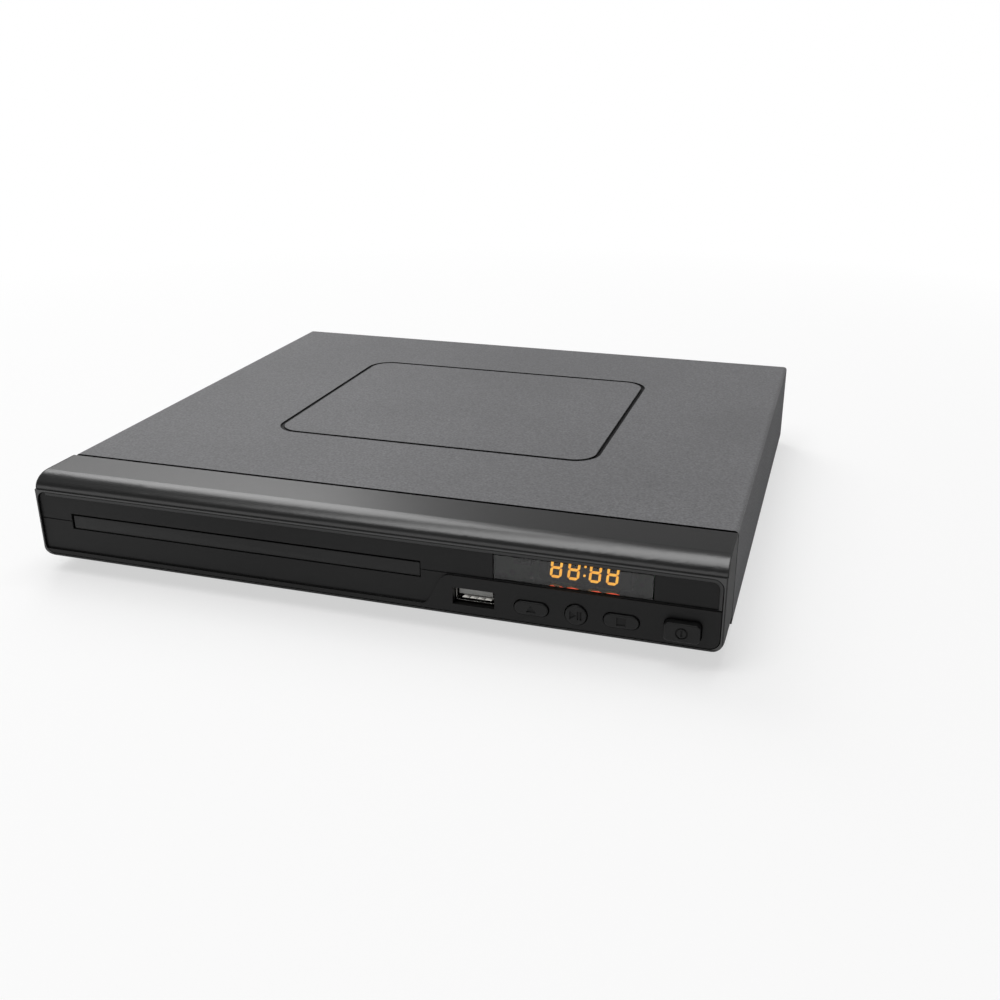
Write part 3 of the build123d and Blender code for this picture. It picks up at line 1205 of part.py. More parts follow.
def pickup():
    """Sled body with a bored arm, an open saddle arm, a lens well and the rack bar."""
    y0, y1 = PICKUP_Y, PICKUP_Y + PICKUP_LENGTH
    body = block(TRAY_X - PICKUP_HALF, TRAY_X + PICKUP_HALF, y0, y1, PICKUP_BOTTOM, PICKUP_TOP)
    arm_end = SLED_RACK_X - 1.2 * SLED_MODULE
    body += beside_tray(-1, PICKUP_HALF, ROD_X + ARM_WALL, y0, y1, ARM_BOTTOM, ARM_TOP)
    body += beside_tray(1, PICKUP_HALF, arm_end - 1, y0, y1, ARM_BOTTOM, ARM_TOP)
    bore = ROD_RADIUS + RUNNING_FIT
    body -= peg(TRAY_X - ROD_X, ROD_Z, y0 - 1, y1 + 1, bore)
    body -= peg(TRAY_X + ROD_X, ROD_Z, y0 - 1, y1 + 1, bore)
    body -= beside_tray(1, ROD_X - bore, ROD_X + bore, y0 - 1, y1 + 1, ARM_BOTTOM - 1, ROD_Z)
    body += rack(1, SLED_MODULE, SLED_BACKLASH, TRAY_X + SLED_RACK_X, SLED_GEAR_Y, SLED_RACK_FRONT, SLED_RACK_REAR,
                 SLED_RACK_BOTTOM, SLED_RACK_BOTTOM + SLED_RACK_TALL, SLED_RACK_WIDE)
    half_x, half_y = LENS_HOLDER_X / 2 + LENS_GAP, LENS_HOLDER_Y / 2 + LENS_GAP
    well_z = LENS_BOTTOM - LENS_FOCUS - FIT
    well = block(TRAY_X - half_x, TRAY_X + half_x, LENS_Y - half_y, LENS_Y + half_y, well_z, PICKUP_TOP + 1)
    return body - well


def lens_holder():
    half_x, half_y = LENS_HOLDER_X / 2, LENS_HOLDER_Y / 2
    top = LENS_TOP - LENS_RAISE
    body = block(TRAY_X - half_x, TRAY_X + half_x, LENS_Y - half_y, LENS_Y + half_y, LENS_BOTTOM, top)
    return body - post(TRAY_X, LENS_Y, top - LENS_SINK, top + 1, LENS_RADIUS + RUNNING_FIT)


def objective_lens():
    top = LENS_TOP - LENS_RAISE
    stub = post(TRAY_X, LENS_Y, top - LENS_SINK, top + LENS_RAISE, LENS_RADIUS)
    return fillet(stub.edges().group_by(Axis.Z)[-1], LENS_RAISE)


SLED_MESH = atan2(SLED_MOTOR_Y - SLED_GEAR_Y, SLED_MOTOR_SIDE)
SLED_GEAR_TOP = SLED_GEAR_BOTTOM + SLED_GEAR_TALL


def sled_gear():
    """Double gear: the large wheel meets the motor pinion and the small one meets the rack of the pickup."""
    x, y = TRAY_X + SLED_GEAR_X, SLED_GEAR_Y
    wheel = gear(SLED_LARGE_TEETH, SLED_MODULE, SLED_BACKLASH, SLED_MESH, x, y, SLED_GEAR_BOTTOM, SLED_GEAR_TOP)
    top = SLED_RACK_BOTTOM + SLED_RACK_TALL + FIT
    wheel += gear(SLED_SMALL_TEETH, SLED_MODULE, SLED_BACKLASH, pi, x, y, SLED_GEAR_TOP, top)
    return wheel - post(x, y, SLED_GEAR_BOTTOM - 1, top + 1, SLED_POST_RADIUS + RUNNING_FIT)


def sled_motor():
    x, y = TRAY_X + SLED_MOTOR_X, SLED_MOTOR_Y
    can = post(x, y, SLED_GEAR_TOP + SLED_MOTOR_GAP, PLATE_BOTTOM, SLED_MOTOR_RADIUS)
    return can + post(x, y, SLED_GEAR_BOTTOM, SLED_GEAR_TOP + SLED_MOTOR_GAP, SLED_SHAFT)


def sled_pinion():
    """Pinion on the sled motor; one of its gaps faces the sled gear."""
    x, y = TRAY_X + SLED_MOTOR_X, SLED_MOTOR_Y
    phase = SLED_MESH + pi + pi / SLED_PINION_TEETH
    wheel = gear(SLED_PINION_TEETH, SLED_MODULE, SLED_BACKLASH, phase, x, y, SLED_GEAR_BOTTOM, SLED_GEAR_TOP)
    return wheel - post(x, y, SLED_GEAR_BOTTOM - 1, SLED_GEAR_TOP + 1, SLED_SHAFT + RUNNING_FIT)


# Boards and connectors
MAIN_MIDDLE = ((MAIN_LEFT + MAIN_RIGHT) / 2, (MAIN_FRONT + MAIN_REAR) / 2)
POWER_CORNER = (MAIN_LEFT, POWER_FRONT)


def board(front, rear, holes):
    plate = block(MAIN_LEFT, MAIN_RIGHT, front, rear, BOARD_Z, BOARD_TOP)
    for x, y in holes:
        plate -= post(x, y, BOARD_Z - 1, BOARD_TOP + 1, SCREW_RADIUS + RUNNING_FIT)
    return plate


def on_board(x, y, wide, deep, tall):
    return block(x - wide / 2, x + wide / 2, y - deep / 2, y + deep / 2, BOARD_TOP, BOARD_TOP + tall)


def main_chips():
    """Decoder with its ribbed heat sink, memory, drive chip and supply regulator."""
    x, y = MAIN_MIDDLE[0], MAIN_MIDDLE[1] + SINK_BACK
    half = SINK_SIZE / 2
    sink = on_board(x, y, SINK_SIZE, SINK_SIZE, SINK_BASE)
    fin_z = BOARD_TOP + SINK_BASE
    for index in range(FIN_COUNT):
        left = x - half + index * (SINK_SIZE - FIN_THICK) / (FIN_COUNT - 1)
        sink += block(left, left + FIN_THICK, y - half, y + half, fin_z, fin_z + FIN_TALL)
    chips = [on_board(MAIN_MIDDLE[0] + a, MAIN_MIDDLE[1] + b, *size) for a, b, *size in CHIPS]
    return group([sink] + chips)


def cans(origin, places, radius, tall):
    """Capacitors with softened tops, placed from an origin on the boards."""
    bodies = [post(origin[0] + a, origin[1] + b, BOARD_TOP, BOARD_TOP + tall, radius) for a, b in places]
    return [fillet(body.edges().group_by(Axis.Z)[-1], CAN_ROUND) for body in bodies]


def capacitors():
    """Electrolytic capacitors of both boards."""
    return group(cans(MAIN_MIDDLE, SMALL_CANS, SMALL_CAN_RADIUS, SMALL_CAN_TALL)
                 + cans(POWER_CORNER, LARGE_CANS, LARGE_CAN_RADIUS, LARGE_CAN_TALL)
                 + cans(POWER_CORNER, OUTPUT_CANS, OUTPUT_CAN_RADIUS, OUTPUT_CAN_TALL))


def transformer():
    """Switching transformer: ferrite core round a wound coil."""
    x, y = POWER_CORNER[0] + TRANSFORMER_X, POWER_CORNER[1] + TRANSFORMER_Y
    coil = on_board(x, y, COIL_WIDTH, COIL_DEPTH, COIL_TALL)
    coil = Pos(0, 0, (CORE_TALL - COIL_TALL) / 2) * fillet(coil.edges().filter_by(Axis.Z), COIL_ROUND)
    return on_board(x, y, CORE_WIDTH, CORE_DEPTH, CORE_TALL) + coil


def video_socket():
    """Metal sleeve with tapered lower corners and a contact tongue."""
    y0, y1 = DEPTH - VIDEO_DEEP, DEPTH + VIDEO_PROUD

    def outline(margin):
        a, b = VIDEO_WIDTH / 2 - margin, VIDEO_TALL / 2 - margin
        step = VIDEO_TALL / 3
        points = [(-a, b), (a, b), (a, b - step), (a - step, -b), (step - a, -b), (-a, b - step)]
        return [(VIDEO_X + u, VIDEO_Z + v) for u, v in points]
    sleeve = front_plate(outline(0), y0, y1) - front_plate(outline(VIDEO_WALL), y0 + VIDEO_BACK, y1 + 1)
    half = VIDEO_WIDTH / 2 - VIDEO_TONGUE_INSET
    z0, z1 = VIDEO_Z - VIDEO_TONGUE / 4, VIDEO_Z + 3 * VIDEO_TONGUE / 4
    return sleeve + block(VIDEO_X - half, VIDEO_X + half, y0 + 1, y1 - VIDEO_TONGUE_SINK, z0, z1)


def jack_housing():
    y1 = REAR_INNER - FIT
    y0, half = y1 - JACK_BODY_DEEP, JACK_PITCH / 2
    body = block(JACK_XS[0] - half, JACK_XS[-1] + half, y0, y1, BOARD_TOP, BOARD_TOP + JACK_BODY_TALL)
    for x in JACK_XS:
        body += peg(x, JACK_Z, y1 - 1, DEPTH + JACK_PROUD - JACK_SINK, JACK_RADIUS - JACK_WALL - RUNNING_FIT)
        body -= peg(x, JACK_Z, y0 + JACK_BACK, DEPTH + JACK_PROUD + 1, JACK_BORE)
    return body


def jack_barrels():
    """Plated outer sleeves of the round jacks."""
    y0, y1 = REAR_INNER - FIT, DEPTH + JACK_PROUD
    bore = JACK_RADIUS - JACK_WALL
    return group([peg(x, JACK_Z, y0, y1, JACK_RADIUS) - peg(x, JACK_Z, y0 - 1, y1 + 1, bore) for x in JACK_XS])


def mains_inlet():
    """Two-pin mains inlet with a stadium-shaped recess."""
    back = REAR_INNER - INLET_DEEP
    body = panel(INLET_WIDTH + INLET_FLANGE, INLET_TALL + INLET_FLANGE, 1.0, INLET_X, INLET_Z, back, REAR_INNER)
    body += inlet_outline(INLET_WIDTH, INLET_TALL, REAR_INNER - 1, DEPTH + INLET_PROUD)
    wall = 2 * INLET_WALL
    body -= inlet_outline(INLET_WIDTH - wall, INLET_TALL - wall, back + INLET_BACK, DEPTH + INLET_PROUD + 1)
    for side in (-1, 1):
        pin = peg(INLET_X + side * INLET_PIN_SPACING / 2, INLET_Z, back + INLET_BACK - 1, DEPTH - INLET_PIN_SINK,
                  INLET_PIN_RADIUS)
        body += fillet(pin.edges().group_by(Axis.Y)[-1], INLET_PIN_RADIUS / 2)
    return body


def front_ribbon():
    """Flat cable from the front board to the main board, with a connector at each end."""
    z = BOARD_TOP + RIBBON_RISE
    half = RIBBON_WIDTH / 2
    plug = half + PLUG_MARGIN
    low, high = z - PLUG_MARGIN, z + PLUG_MARGIN
    start, end = FRONT_BOARD_Y + BOARD_THICK + PLUG_DEPTH, MAIN_FRONT + PLUG_DEPTH
    front_end = block(RIBBON_X - plug, RIBBON_X + plug, start - PLUG_DEPTH, start, low, high)
    rear_end = block(RIBBON_X - plug, RIBBON_X + plug, end, end + PLUG_DEPTH, BOARD_TOP, high)
    strip = block(RIBBON_X - half, RIBBON_X + half, start, end, z - RIBBON_THICK / 2, z + RIBBON_THICK / 2)
    return group([front_end, strip, rear_end])


def board_screws():
    flat = [Pos(x, y, BOARD_TOP) * screw(SCREW_LENGTH) for x, y in MAIN_HOLES + POWER_HOLES]
    return group(flat + [front_board_screws()])


def case_screws():
    return group([cover_screws(), bezel_screws()])


# The finished pieces
def pieces():
    shapes = {
        "bottom_chassis": bottom_chassis(), "top_cover": top_cover(), "front_bezel": front_bezel(),
        "fascia_plate": fascia_plate(), "display_window": display_window(), "feet": feet(),
        "case_screws": case_screws(), "board_screws": board_screws(),
        "loader_screws": screws_down(LUG_PLACES, LUG_TOP, LUG_TOP - CASE_Z),
        "key_switches": key_switches(), "front_board": front_board(), "led_display": led_display(),
        "led_segments": led_segments(), "ir_receiver": ir_receiver(), "port_shell": port_shell(),
        "port_tongue": port_tongue(), "loader_frame": loader_frame(), "disc_tray": disc_tray(),
        "tray_door": tray_door(), "loader_motor": loader_motor(), "motor_pulley": motor_pulley(),
        "drive_belt": drive_belt(), "pulley_gear": pulley_gear(), "tray_gear": tray_gear(),
        "cam_slider": cam_slider(), "traverse_frame": traverse_frame(), "dampers": dampers(),
        "mech_plate": mech_plate(), "mech_screws": mech_screws(), "spindle_motor": spindle_motor(),
        "turntable": turntable(), "turntable_pad": turntable_pad(), "clamper": clamper(),
        "clamp_magnet": clamp_magnet(), "clamper_bridge": clamper_bridge(), "guide_rods": guide_rods(),
        "pickup": pickup(), "lens_holder": lens_holder(), "objective_lens": objective_lens(),
        "sled_motor": sled_motor(), "sled_pinion": sled_pinion(), "sled_gear": sled_gear(),
        "main_board": board(MAIN_FRONT, MAIN_REAR, MAIN_HOLES),
        "power_board": board(POWER_FRONT, POWER_REAR, POWER_HOLES),
        "main_chips": main_chips(), "capacitors": capacitors(), "transformer": transformer(),
        "video_socket": video_socket(), "jack_housing": jack_housing(), "jack_barrels": jack_barrels(),
        "mains_inlet": mains_inlet(), "front_ribbon": front_ribbon(),
    }
    for button in BUTTONS:
        name, x, travel = button[0], button[1], button[-1]
        shapes[f"{name}_button"] = button_cap(*button)
        shapes[f"{name}_plunger"] = switch_plunger(x, travel)
    return shapes


os.makedirs("parts", exist_ok=True)
for name, shape in pieces().items():
    export_step(Pos(0, -ORIGIN_Y, 0) * shape, f"parts/{name}.step")
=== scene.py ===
"""Looks of the flat disc player: its finishes, the small pieces that the solids leave out, light and camera.

Lengths are in millimetres, with Y measured back from the foot of the bezel's nose and Z up from the floor,
and at() turns them into the frame's metres.
"""
from math import cos, pi, radians, sin

import bpy
import bmesh
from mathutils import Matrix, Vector


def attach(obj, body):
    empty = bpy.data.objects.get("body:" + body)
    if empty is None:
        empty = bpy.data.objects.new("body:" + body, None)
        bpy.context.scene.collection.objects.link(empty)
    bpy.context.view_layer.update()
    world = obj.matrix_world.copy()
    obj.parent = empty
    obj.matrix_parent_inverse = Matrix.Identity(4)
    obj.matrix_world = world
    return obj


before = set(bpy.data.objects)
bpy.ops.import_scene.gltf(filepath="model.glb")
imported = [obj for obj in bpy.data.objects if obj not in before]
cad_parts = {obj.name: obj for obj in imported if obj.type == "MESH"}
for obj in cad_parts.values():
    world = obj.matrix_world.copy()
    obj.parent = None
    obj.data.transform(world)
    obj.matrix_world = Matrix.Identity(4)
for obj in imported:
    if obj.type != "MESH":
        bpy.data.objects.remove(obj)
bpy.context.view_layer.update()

MM = 0.001
NOSE_Y = 110.25

# Places on the case by which the finishes and the pieces are set
TOP_Z = 36.25
SEAM_Z = 20.8
FASCIA_Y = -0.2
BEZEL_END_X = 119.6
BEZEL_LIP_Z = 7.6
COVER_EDGE_Y = 23.4
COVER_SIDE_X = 119.9
COVER_SKIN_Z = TOP_Z - 0.6

# Middle line of the pressed line in the cover, and half the width of the band of painted shade along it
GROOVE_Y = 120.15
GROOVE_HALF_X, GROOVE_HALF_Y = 63.35, 51.1
GROOVE_TURN = 8.95
GROOVE_SHADE_HALF = 0.88

# Most of a noise's values lie in this range, so it is what is spread over a roughness
NOISE_SPAN = {"From Min": 0.3, "From Max": 0.7}


def at(x, y, z):
    """A point of the player in the frame's metres."""
    return (x * MM, (y - NOSE_Y) * MM, z * MM)


# Finishes
def linear(code):
    """An sRGB hex colour as linear red, green, blue and alpha."""
    values = [int(code[i:i + 2], 16) / 255 for i in (1, 3, 5)]
    return [v / 12.92 if v <= 0.04045 else ((v + 0.055) / 1.055) ** 2.4 for v in values] + [1.0]


def result(node):
    """The output of a node that its settings leave in use."""
    return next(s for s in node.outputs if s.enabled)


def add(tree, kind, inputs, **settings):
    """Adds a node with its settings. An input takes a number, a hex colour, a socket or the node before it."""
    node = tree.nodes.new(kind)
    for key, value in settings.items():
        setattr(node, key, value)
    for key, value in inputs.items():
        named = (s for s in node.inputs if s.enabled and s.name == key)
        socket = node.inputs[key] if isinstance(key, int) else next(named)
        if isinstance(value, bpy.types.Node):
            value = result(value)
        if isinstance(value, bpy.types.NodeSocket):
            tree.links.new(value, socket)
        else:
            socket.default_value = linear(value) if isinstance(value, str) else value
    return node


def start(name, **values):
    """A new material with constants on its shader: the material, its tree, its shader and the place in metres."""
    material = bpy.data.materials.new(name)
    material.use_nodes = True
    tree = material.node_tree
    shader = tree.nodes["Principled BSDF"]
    for key, value in values.items():
        shader.inputs[key.replace("_", " ")].default_value = linear(value) if isinstance(value, str) else value
    place = add(tree, "ShaderNodeTexCoord", {}).outputs["Object"]
    return material, tree, shader, place


def dress(tree, shader, colour, gloss, height, depth, edge):
    """Links colour and roughness, and a relief of depth millimetres on edges softened by edge millimetres, if any."""
    soft = {"Normal": add(tree, "ShaderNodeBevel", {"Radius": edge * MM}, samples=4)} if edge else {}
    bump = add(tree, "ShaderNodeBump", {"Height": height, "Distance": depth * MM, **soft})
    for key, node in (("Base Color", colour), ("Roughness", gloss), ("Normal", bump)):
        tree.links.new(result(node), shader.inputs[key])


def moulded(name, dark, light, rough, IOR=1.54, level=0.5, grain=0.3, depth=0.01, patch=30.0, edge=0.2,
            drawn=(1, 1, 1)):
    """Injection-moulded plastic: the grain of the mould breaks up its gloss, and its tone drifts a little.

    A mould's grain is about 0.08 mm, too fine to show, so it is drawn at grain millimetres.
    """
    material, tree, shader, place = start(name, IOR=IOR, Specular_IOR_Level=level)
    scaled = add(tree, "ShaderNodeMapping", {"Vector": place, "Scale": [1 / (grain * MM * d) for d in drawn]})
    fine = add(tree, "ShaderNodeTexNoise", {"Vector": scaled, "Scale": 1.0, "Detail": 3.0})
    slow = add(tree, "ShaderNodeTexNoise", {"Vector": place, "Scale": 1 / (patch * MM)})
    colour = add(tree, "ShaderNodeMix", {"Factor": slow, "A": dark, "B": light}, data_type="RGBA")
    gloss = add(tree, "ShaderNodeMapRange", {"Value": fine, **NOISE_SPAN, "To Min": rough[0], "To Max": rough[1]})
    dress(tree, shader, colour, gloss, fine, depth, edge)
    return material


def satin_abs(name):
    """ABS from a mould that was polished satin on its show side and left coarse at its ends and underside.

    The top gives back a broad soft sheen, and the ends and the lower lip look duller. A satin mould's grain is
    about 0.03 mm, too fine to show, so it is drawn at 0.35 mm.
    """
    material, tree, shader, place = start(name, IOR=1.54, Specular_IOR_Level=0.75)
    fine = add(tree, "ShaderNodeTexNoise", {"Vector": place, "Scale": 1 / (0.35 * MM), "Detail": 3.0})
    slow = add(tree, "ShaderNodeTexNoise", {"Vector": place, "Scale": 1 / (80.0 * MM)})
    colour = add(tree, "ShaderNodeMix", {"Factor": slow, "A": "#070707", "B": "#1b1b1b"}, data_type="RGBA")
    axes = add(tree, "ShaderNodeSeparateXYZ", {"Vector": place}).outputs
    out = add(tree, "ShaderNodeMath", {0: axes["X"]}, operation="ABSOLUTE")
    end = add(tree, "ShaderNodeMath", {0: out, 1: BEZEL_END_X * MM}, operation="GREATER_THAN")
    under = add(tree, "ShaderNodeMath", {0: axes["Z"], 1: BEZEL_LIP_Z * MM}, operation="LESS_THAN")
    coarse = add(tree, "ShaderNodeMath", {0: end, 1: under}, operation="MAXIMUM")
    satin = add(tree, "ShaderNodeMapRange", {"Value": fine, **NOISE_SPAN, "To Min": 0.29, "To Max": 0.34})
    gloss = add(tree, "ShaderNodeMix", {"Factor": coarse, "A": satin, "B": 0.85})
    dress(tree, shader, colour, gloss, fine, 0.003, 0)
    return material


def metal(name, dark, light, rough, grain, depth, drawn=(1, 1, 1), edge=0.15):
    """Bare or plated metal: tone and roughness follow the grain of grain millimetres that its making left."""
    material, tree, shader, place = start(name, Metallic=1.0)
    scaled = add(tree, "ShaderNodeMapping", {"Vector": place, "Scale": [1 / (grain * MM * d) for d in drawn]})
    fine = add(tree, "ShaderNodeTexNoise", {"Vector": scaled, "Scale": 1.0, "Detail": 4.0})
    colour = add(tree, "ShaderNodeMix", {"Factor": fine, "A": dark, "B": light}, data_type="RGBA")
    gloss = add(tree, "ShaderNodeMapRange", {"Value": fine, **NOISE_SPAN, "To Min": rough[0], "To Max": rough[1]})
    dress(tree, shader, colour, gloss, fine, depth, edge)
    return material


def powder_coat(name):
    """Polyester powder baked on steel sheet: a fine speckle in tone and gloss.

    It has painted shade along the pressed line and at the front edge. The sides took the powder at a slant, so they
    are duller than the top. The powder's grains are about 0.1 mm, too fine to show, so the speckle is drawn at 0.8
    mm.
    """
    material, tree, shader, place = start(name, IOR=1.5, Specular_IOR_Level=0.12)
    speck = add(tree, "ShaderNodeTexNoise", {"Vector": place, "Scale": 1 / (0.8 * MM), "Detail": 3.0})
    slow = add(tree, "ShaderNodeTexNoise", {"Vector": place, "Scale": 1 / (60.0 * MM)})
    grains = add(tree, "ShaderNodeMix", {"Factor": speck, "A": "#3b3b3c", "B": "#939395"}, data_type="RGBA")
    cloud = add(tree, "ShaderNodeMapRange", {"Value": slow, **NOISE_SPAN, "To Max": 0.25})
    coat = add(tree, "ShaderNodeMix", {"Factor": cloud, "A": grains, "B": "#5b5b5c"}, data_type="RGBA")
    axes = add(tree, "ShaderNodeSeparateXYZ", {"Vector": place}).outputs
    # Painted shade: a near-black band along the pressed line, on the outer skin, stands in for the groove's shadow
    from_middle = add(tree, "ShaderNodeVectorMath", {0: place, 1: at(0, GROOVE_Y, 0)}, operation="SUBTRACT")
    spread = add(tree, "ShaderNodeVectorMath", {0: from_middle}, operation="ABSOLUTE")
    straight = ((GROOVE_HALF_X - GROOVE_TURN) * MM, (GROOVE_HALF_Y - GROOVE_TURN) * MM, TOP_Z * MM)
    past = add(tree, "ShaderNodeVectorMath", {0: spread, 1: straight}, operation="SUBTRACT")
    corner = add(tree, "ShaderNodeVectorMath", {0: past}, operation="MAXIMUM")
    reach = add(tree, "ShaderNodeVectorMath", {0: corner}, operation="LENGTH").outputs["Value"]
    near = add(tree, "ShaderNodeMath", {0: reach, 1: GROOVE_TURN * MM, 2: GROOVE_SHADE_HALF * MM}, operation="COMPARE")
    outside = add(tree, "ShaderNodeMath", {0: axes["Z"], 1: COVER_SKIN_Z * MM}, operation="GREATER_THAN")
    line = add(tree, "ShaderNodeMath", {0: near, 1: outside}, operation="MULTIPLY")
    # Painted shade: a near-black strip along the front edge stands in for the shadow in the seam's gap
    edge = add(tree, "ShaderNodeMath", {0: axes["Y"], 1: at(0, COVER_EDGE_Y, 0)[1]}, operation="LESS_THAN")
    # Painted shade of the pressed line and of the front edge together, mixed in as near black
    dark = add(tree, "ShaderNodeMath", {0: line, 1: edge}, operation="MAXIMUM")
    colour = add(tree, "ShaderNodeMix", {"Factor": dark, "A": coat, "B": "#050505"}, data_type="RGBA")
    baked = add(tree, "ShaderNodeMapRange", {"Value": speck, **NOISE_SPAN, "To Min": 0.46, "To Max": 0.60})
    out = add(tree, "ShaderNodeMath", {0: axes["X"]}, operation="ABSOLUTE")
    side = add(tree, "ShaderNodeMath", {0: out, 1: COVER_SIDE_X * MM}, operation="GREATER_THAN")
    gloss = add(tree, "ShaderNodeMix", {"Factor": side, "A": baked, "B": 0.9})
    dress(tree, shader, colour, gloss, speck, 0.02, 0.15)
    return material


def marked_button(name, floor_y):
    """Fine-grained ABS of a push button, drawn near black in its sunk mark, whose floor lies at floor_y."""
    material, tree, shader, place = start(name, IOR=1.54, Specular_IOR_Level=0.24)
    fine = add(tree, "ShaderNodeTexNoise", {"Vector": place, "Scale": 1 / (0.3 * MM), "Detail": 3.0})
    slow = add(tree, "ShaderNodeTexNoise", {"Vector": place, "Scale": 1 / (8.0 * MM)})
    face = add(tree, "ShaderNodeMix", {"Factor": slow, "A": "#0b0b0b", "B": "#1c1c1c"}, data_type="RGBA")
    back = add(tree, "ShaderNodeSeparateXYZ", {"Vector": place}).outputs["Y"]
    middle = at(0, floor_y, 0)[1]
    # The sunk mark, near its floor at floor_y, is drawn near black
    in_mark = add(tree, "ShaderNodeMath", {0: back, 1: middle, 2: 0.09 * MM}, operation="COMPARE")
    colour = add(tree, "ShaderNodeMix", {"Factor": in_mark, "A": face, "B": "#030303"}, data_type="RGBA")
    gloss = add(tree, "ShaderNodeMapRange", {"Value": fine, **NOISE_SPAN, "To Min": 0.42, "To Max": 0.54})
    dress(tree, shader, colour, gloss, fine, 0.012, 0.4)
    return material


def smoked_acrylic(name):
    """Cast acrylic sheet tinted black: it half hides what is behind it and mirrors the room in front."""
    material, tree, shader, place = start(name, IOR=1.49, Specular_IOR_Level=1.0, Alpha=0.5)
    haze = add(tree, "ShaderNodeTexNoise", {"Vector": place, "Scale": 1 / (12.0 * MM)})
    colour = add(tree, "ShaderNodeMix", {"Factor": haze, "A": "#070707", "B": "#151515"}, data_type="RGBA")
    gloss = add(tree, "ShaderNodeMapRange", {"Value": haze, **NOISE_SPAN, "To Min": 0.05, "To Max": 0.09})
    dress(tree, shader, colour, gloss, haze, 0.002, 0)
    return material


def glow(name, low, high, strength):
    """Lit diffuser plastic or painted glow: a bright core whose glow changes a little along each bar."""
    material, tree, shader, place = start(name, Base_Color=low, Emission_Strength=strength)
    uneven = add(tree, "ShaderNodeTexNoise", {"Vector": place, "Scale": 1 / (1.2 * MM)})
    colour = add(tree, "ShaderNodeMix", {"Factor": uneven, "A": low, "B": high}, data_type="RGBA")
    tree.links.new(result(colour), shader.inputs["Emission Color"])
    return material


def circuit_board(name):
    """Glass-epoxy board under green solder mask: paler where copper runs below it, dotted with tinned pads."""
    material, tree, shader, place = start(name, IOR=1.55)
    cells = add(tree, "ShaderNodeTexVoronoi", {"Vector": place, "Scale": 1 / (4.0 * MM), "Randomness": 0.6},
                distance="MANHATTAN")
    copper = add(tree, "ShaderNodeMapRange", {"Value": cells.outputs["Distance"], "From Min": 0.42, "From Max": 0.48})
    mask = add(tree, "ShaderNodeMix", {"Factor": copper, "A": "#1d4a2a", "B": "#2f6b3d"}, data_type="RGBA")
    dots = add(tree, "ShaderNodeTexVoronoi", {"Vector": place, "Scale": 1 / (5.0 * MM), "Randomness": 0.9})
    pad = add(tree, "ShaderNodeMapRange", {"Value": dots.outputs["Distance"], "From Min": 0.10, "From Max": 0.13,
                                           "To Min": 1.0, "To Max": 0.0})
    colour = add(tree, "ShaderNodeMix", {"Factor": pad, "A": mask, "B": "#a7a79a"}, data_type="RGBA")
    weave = add(tree, "ShaderNodeTexNoise", {"Vector": place, "Scale": 1 / (0.4 * MM)})
    gloss = add(tree, "ShaderNodeMapRange", {"Value": weave, **NOISE_SPAN, "To Min": 0.28, "To Max": 0.40})
    dress(tree, shader, colour, gloss, copper, 0.03, 0.1)
    return material


def ribbon_cable(name):
    """White PVC ribbon cable: its conductors show as ribs 1 mm apart along its length."""
    material, tree, shader, place = start(name, IOR=1.54)
    across = add(tree, "ShaderNodeSeparateXYZ", {"Vector": place}).outputs["X"]
    phase = add(tree, "ShaderNodeMath", {0: across, 1: 2 * pi / (1.0 * MM)}, operation="MULTIPLY")
    wave = add(tree, "ShaderNodeMath", {0: phase}, operation="SINE")
    rib = add(tree, "ShaderNodeMapRange", {"Value": wave, "From Min": -1.0})
    # Painted shade: the colour darkens in the valleys between the ribs
    colour = add(tree, "ShaderNodeMix", {"Factor": rib, "A": "#b9b8b2", "B": "#e4e3dc"}, data_type="RGBA")
    gloss = add(tree, "ShaderNodeMapRange", {"Value": rib, "To Min": 0.42, "To Max": 0.5})
    dress(tree, shader, colour, gloss, rib, 0.08, 0.1)
    return material


def lens_glass(name):
    """Polished lens with an anti-reflection film, which gives a faint blue to violet cast."""
    material, tree, shader, place = start(name, IOR=1.6, Transmission_Weight=0.9, Roughness=0.03, Coat_Weight=1.0)
    film = add(tree, "ShaderNodeTexNoise", {"Vector": place, "Scale": 1 / (3.0 * MM)})
    colour = add(tree, "ShaderNodeMix", {"Factor": film, "A": "#8fb0dc", "B": "#d6bde4"}, data_type="RGBA")
    tree.links.new(result(colour), shader.inputs["Base Color"])
    return material


# The mould of the fascia and the door was brushed, so their hairlines run from side to side
FASCIA_ABS = moulded("hairline_fascia_abs", "#070707", "#191919", (0.34, 0.46), level=0.2, grain=0.25, patch=60.0,
                     drawn=(24, 1, 1))
DOOR_ABS = moulded("hairline_door_abs", "#0e0e0e", "#212121", (0.36, 0.46), level=0.25, grain=0.25, patch=60.0,
                   drawn=(24, 1, 1))
RIM_ABS = moulded("satin_rim_abs", "#1a1a1a", "#2d2d2d", (0.3, 0.4), level=0.4, depth=0.004, patch=60.0, edge=0)
NICKEL = metal("nickel_plating", "#9b9994", "#d4d2cd", (0.14, 0.26), 1.2, 0.004)
NYLON = moulded("white_nylon", "#bdbcb5", "#e5e4de", (0.4, 0.5), IOR=1.53, grain=0.6)
AMBER = glow("amber_diffuser", "#ff9618", "#ffd65c", 3.4)
# Painted glow for the red light of the digits at the window's lower edge
RED_EDGE = glow("red_lit_edge", "#b82410", "#ff6a50", 0.9)

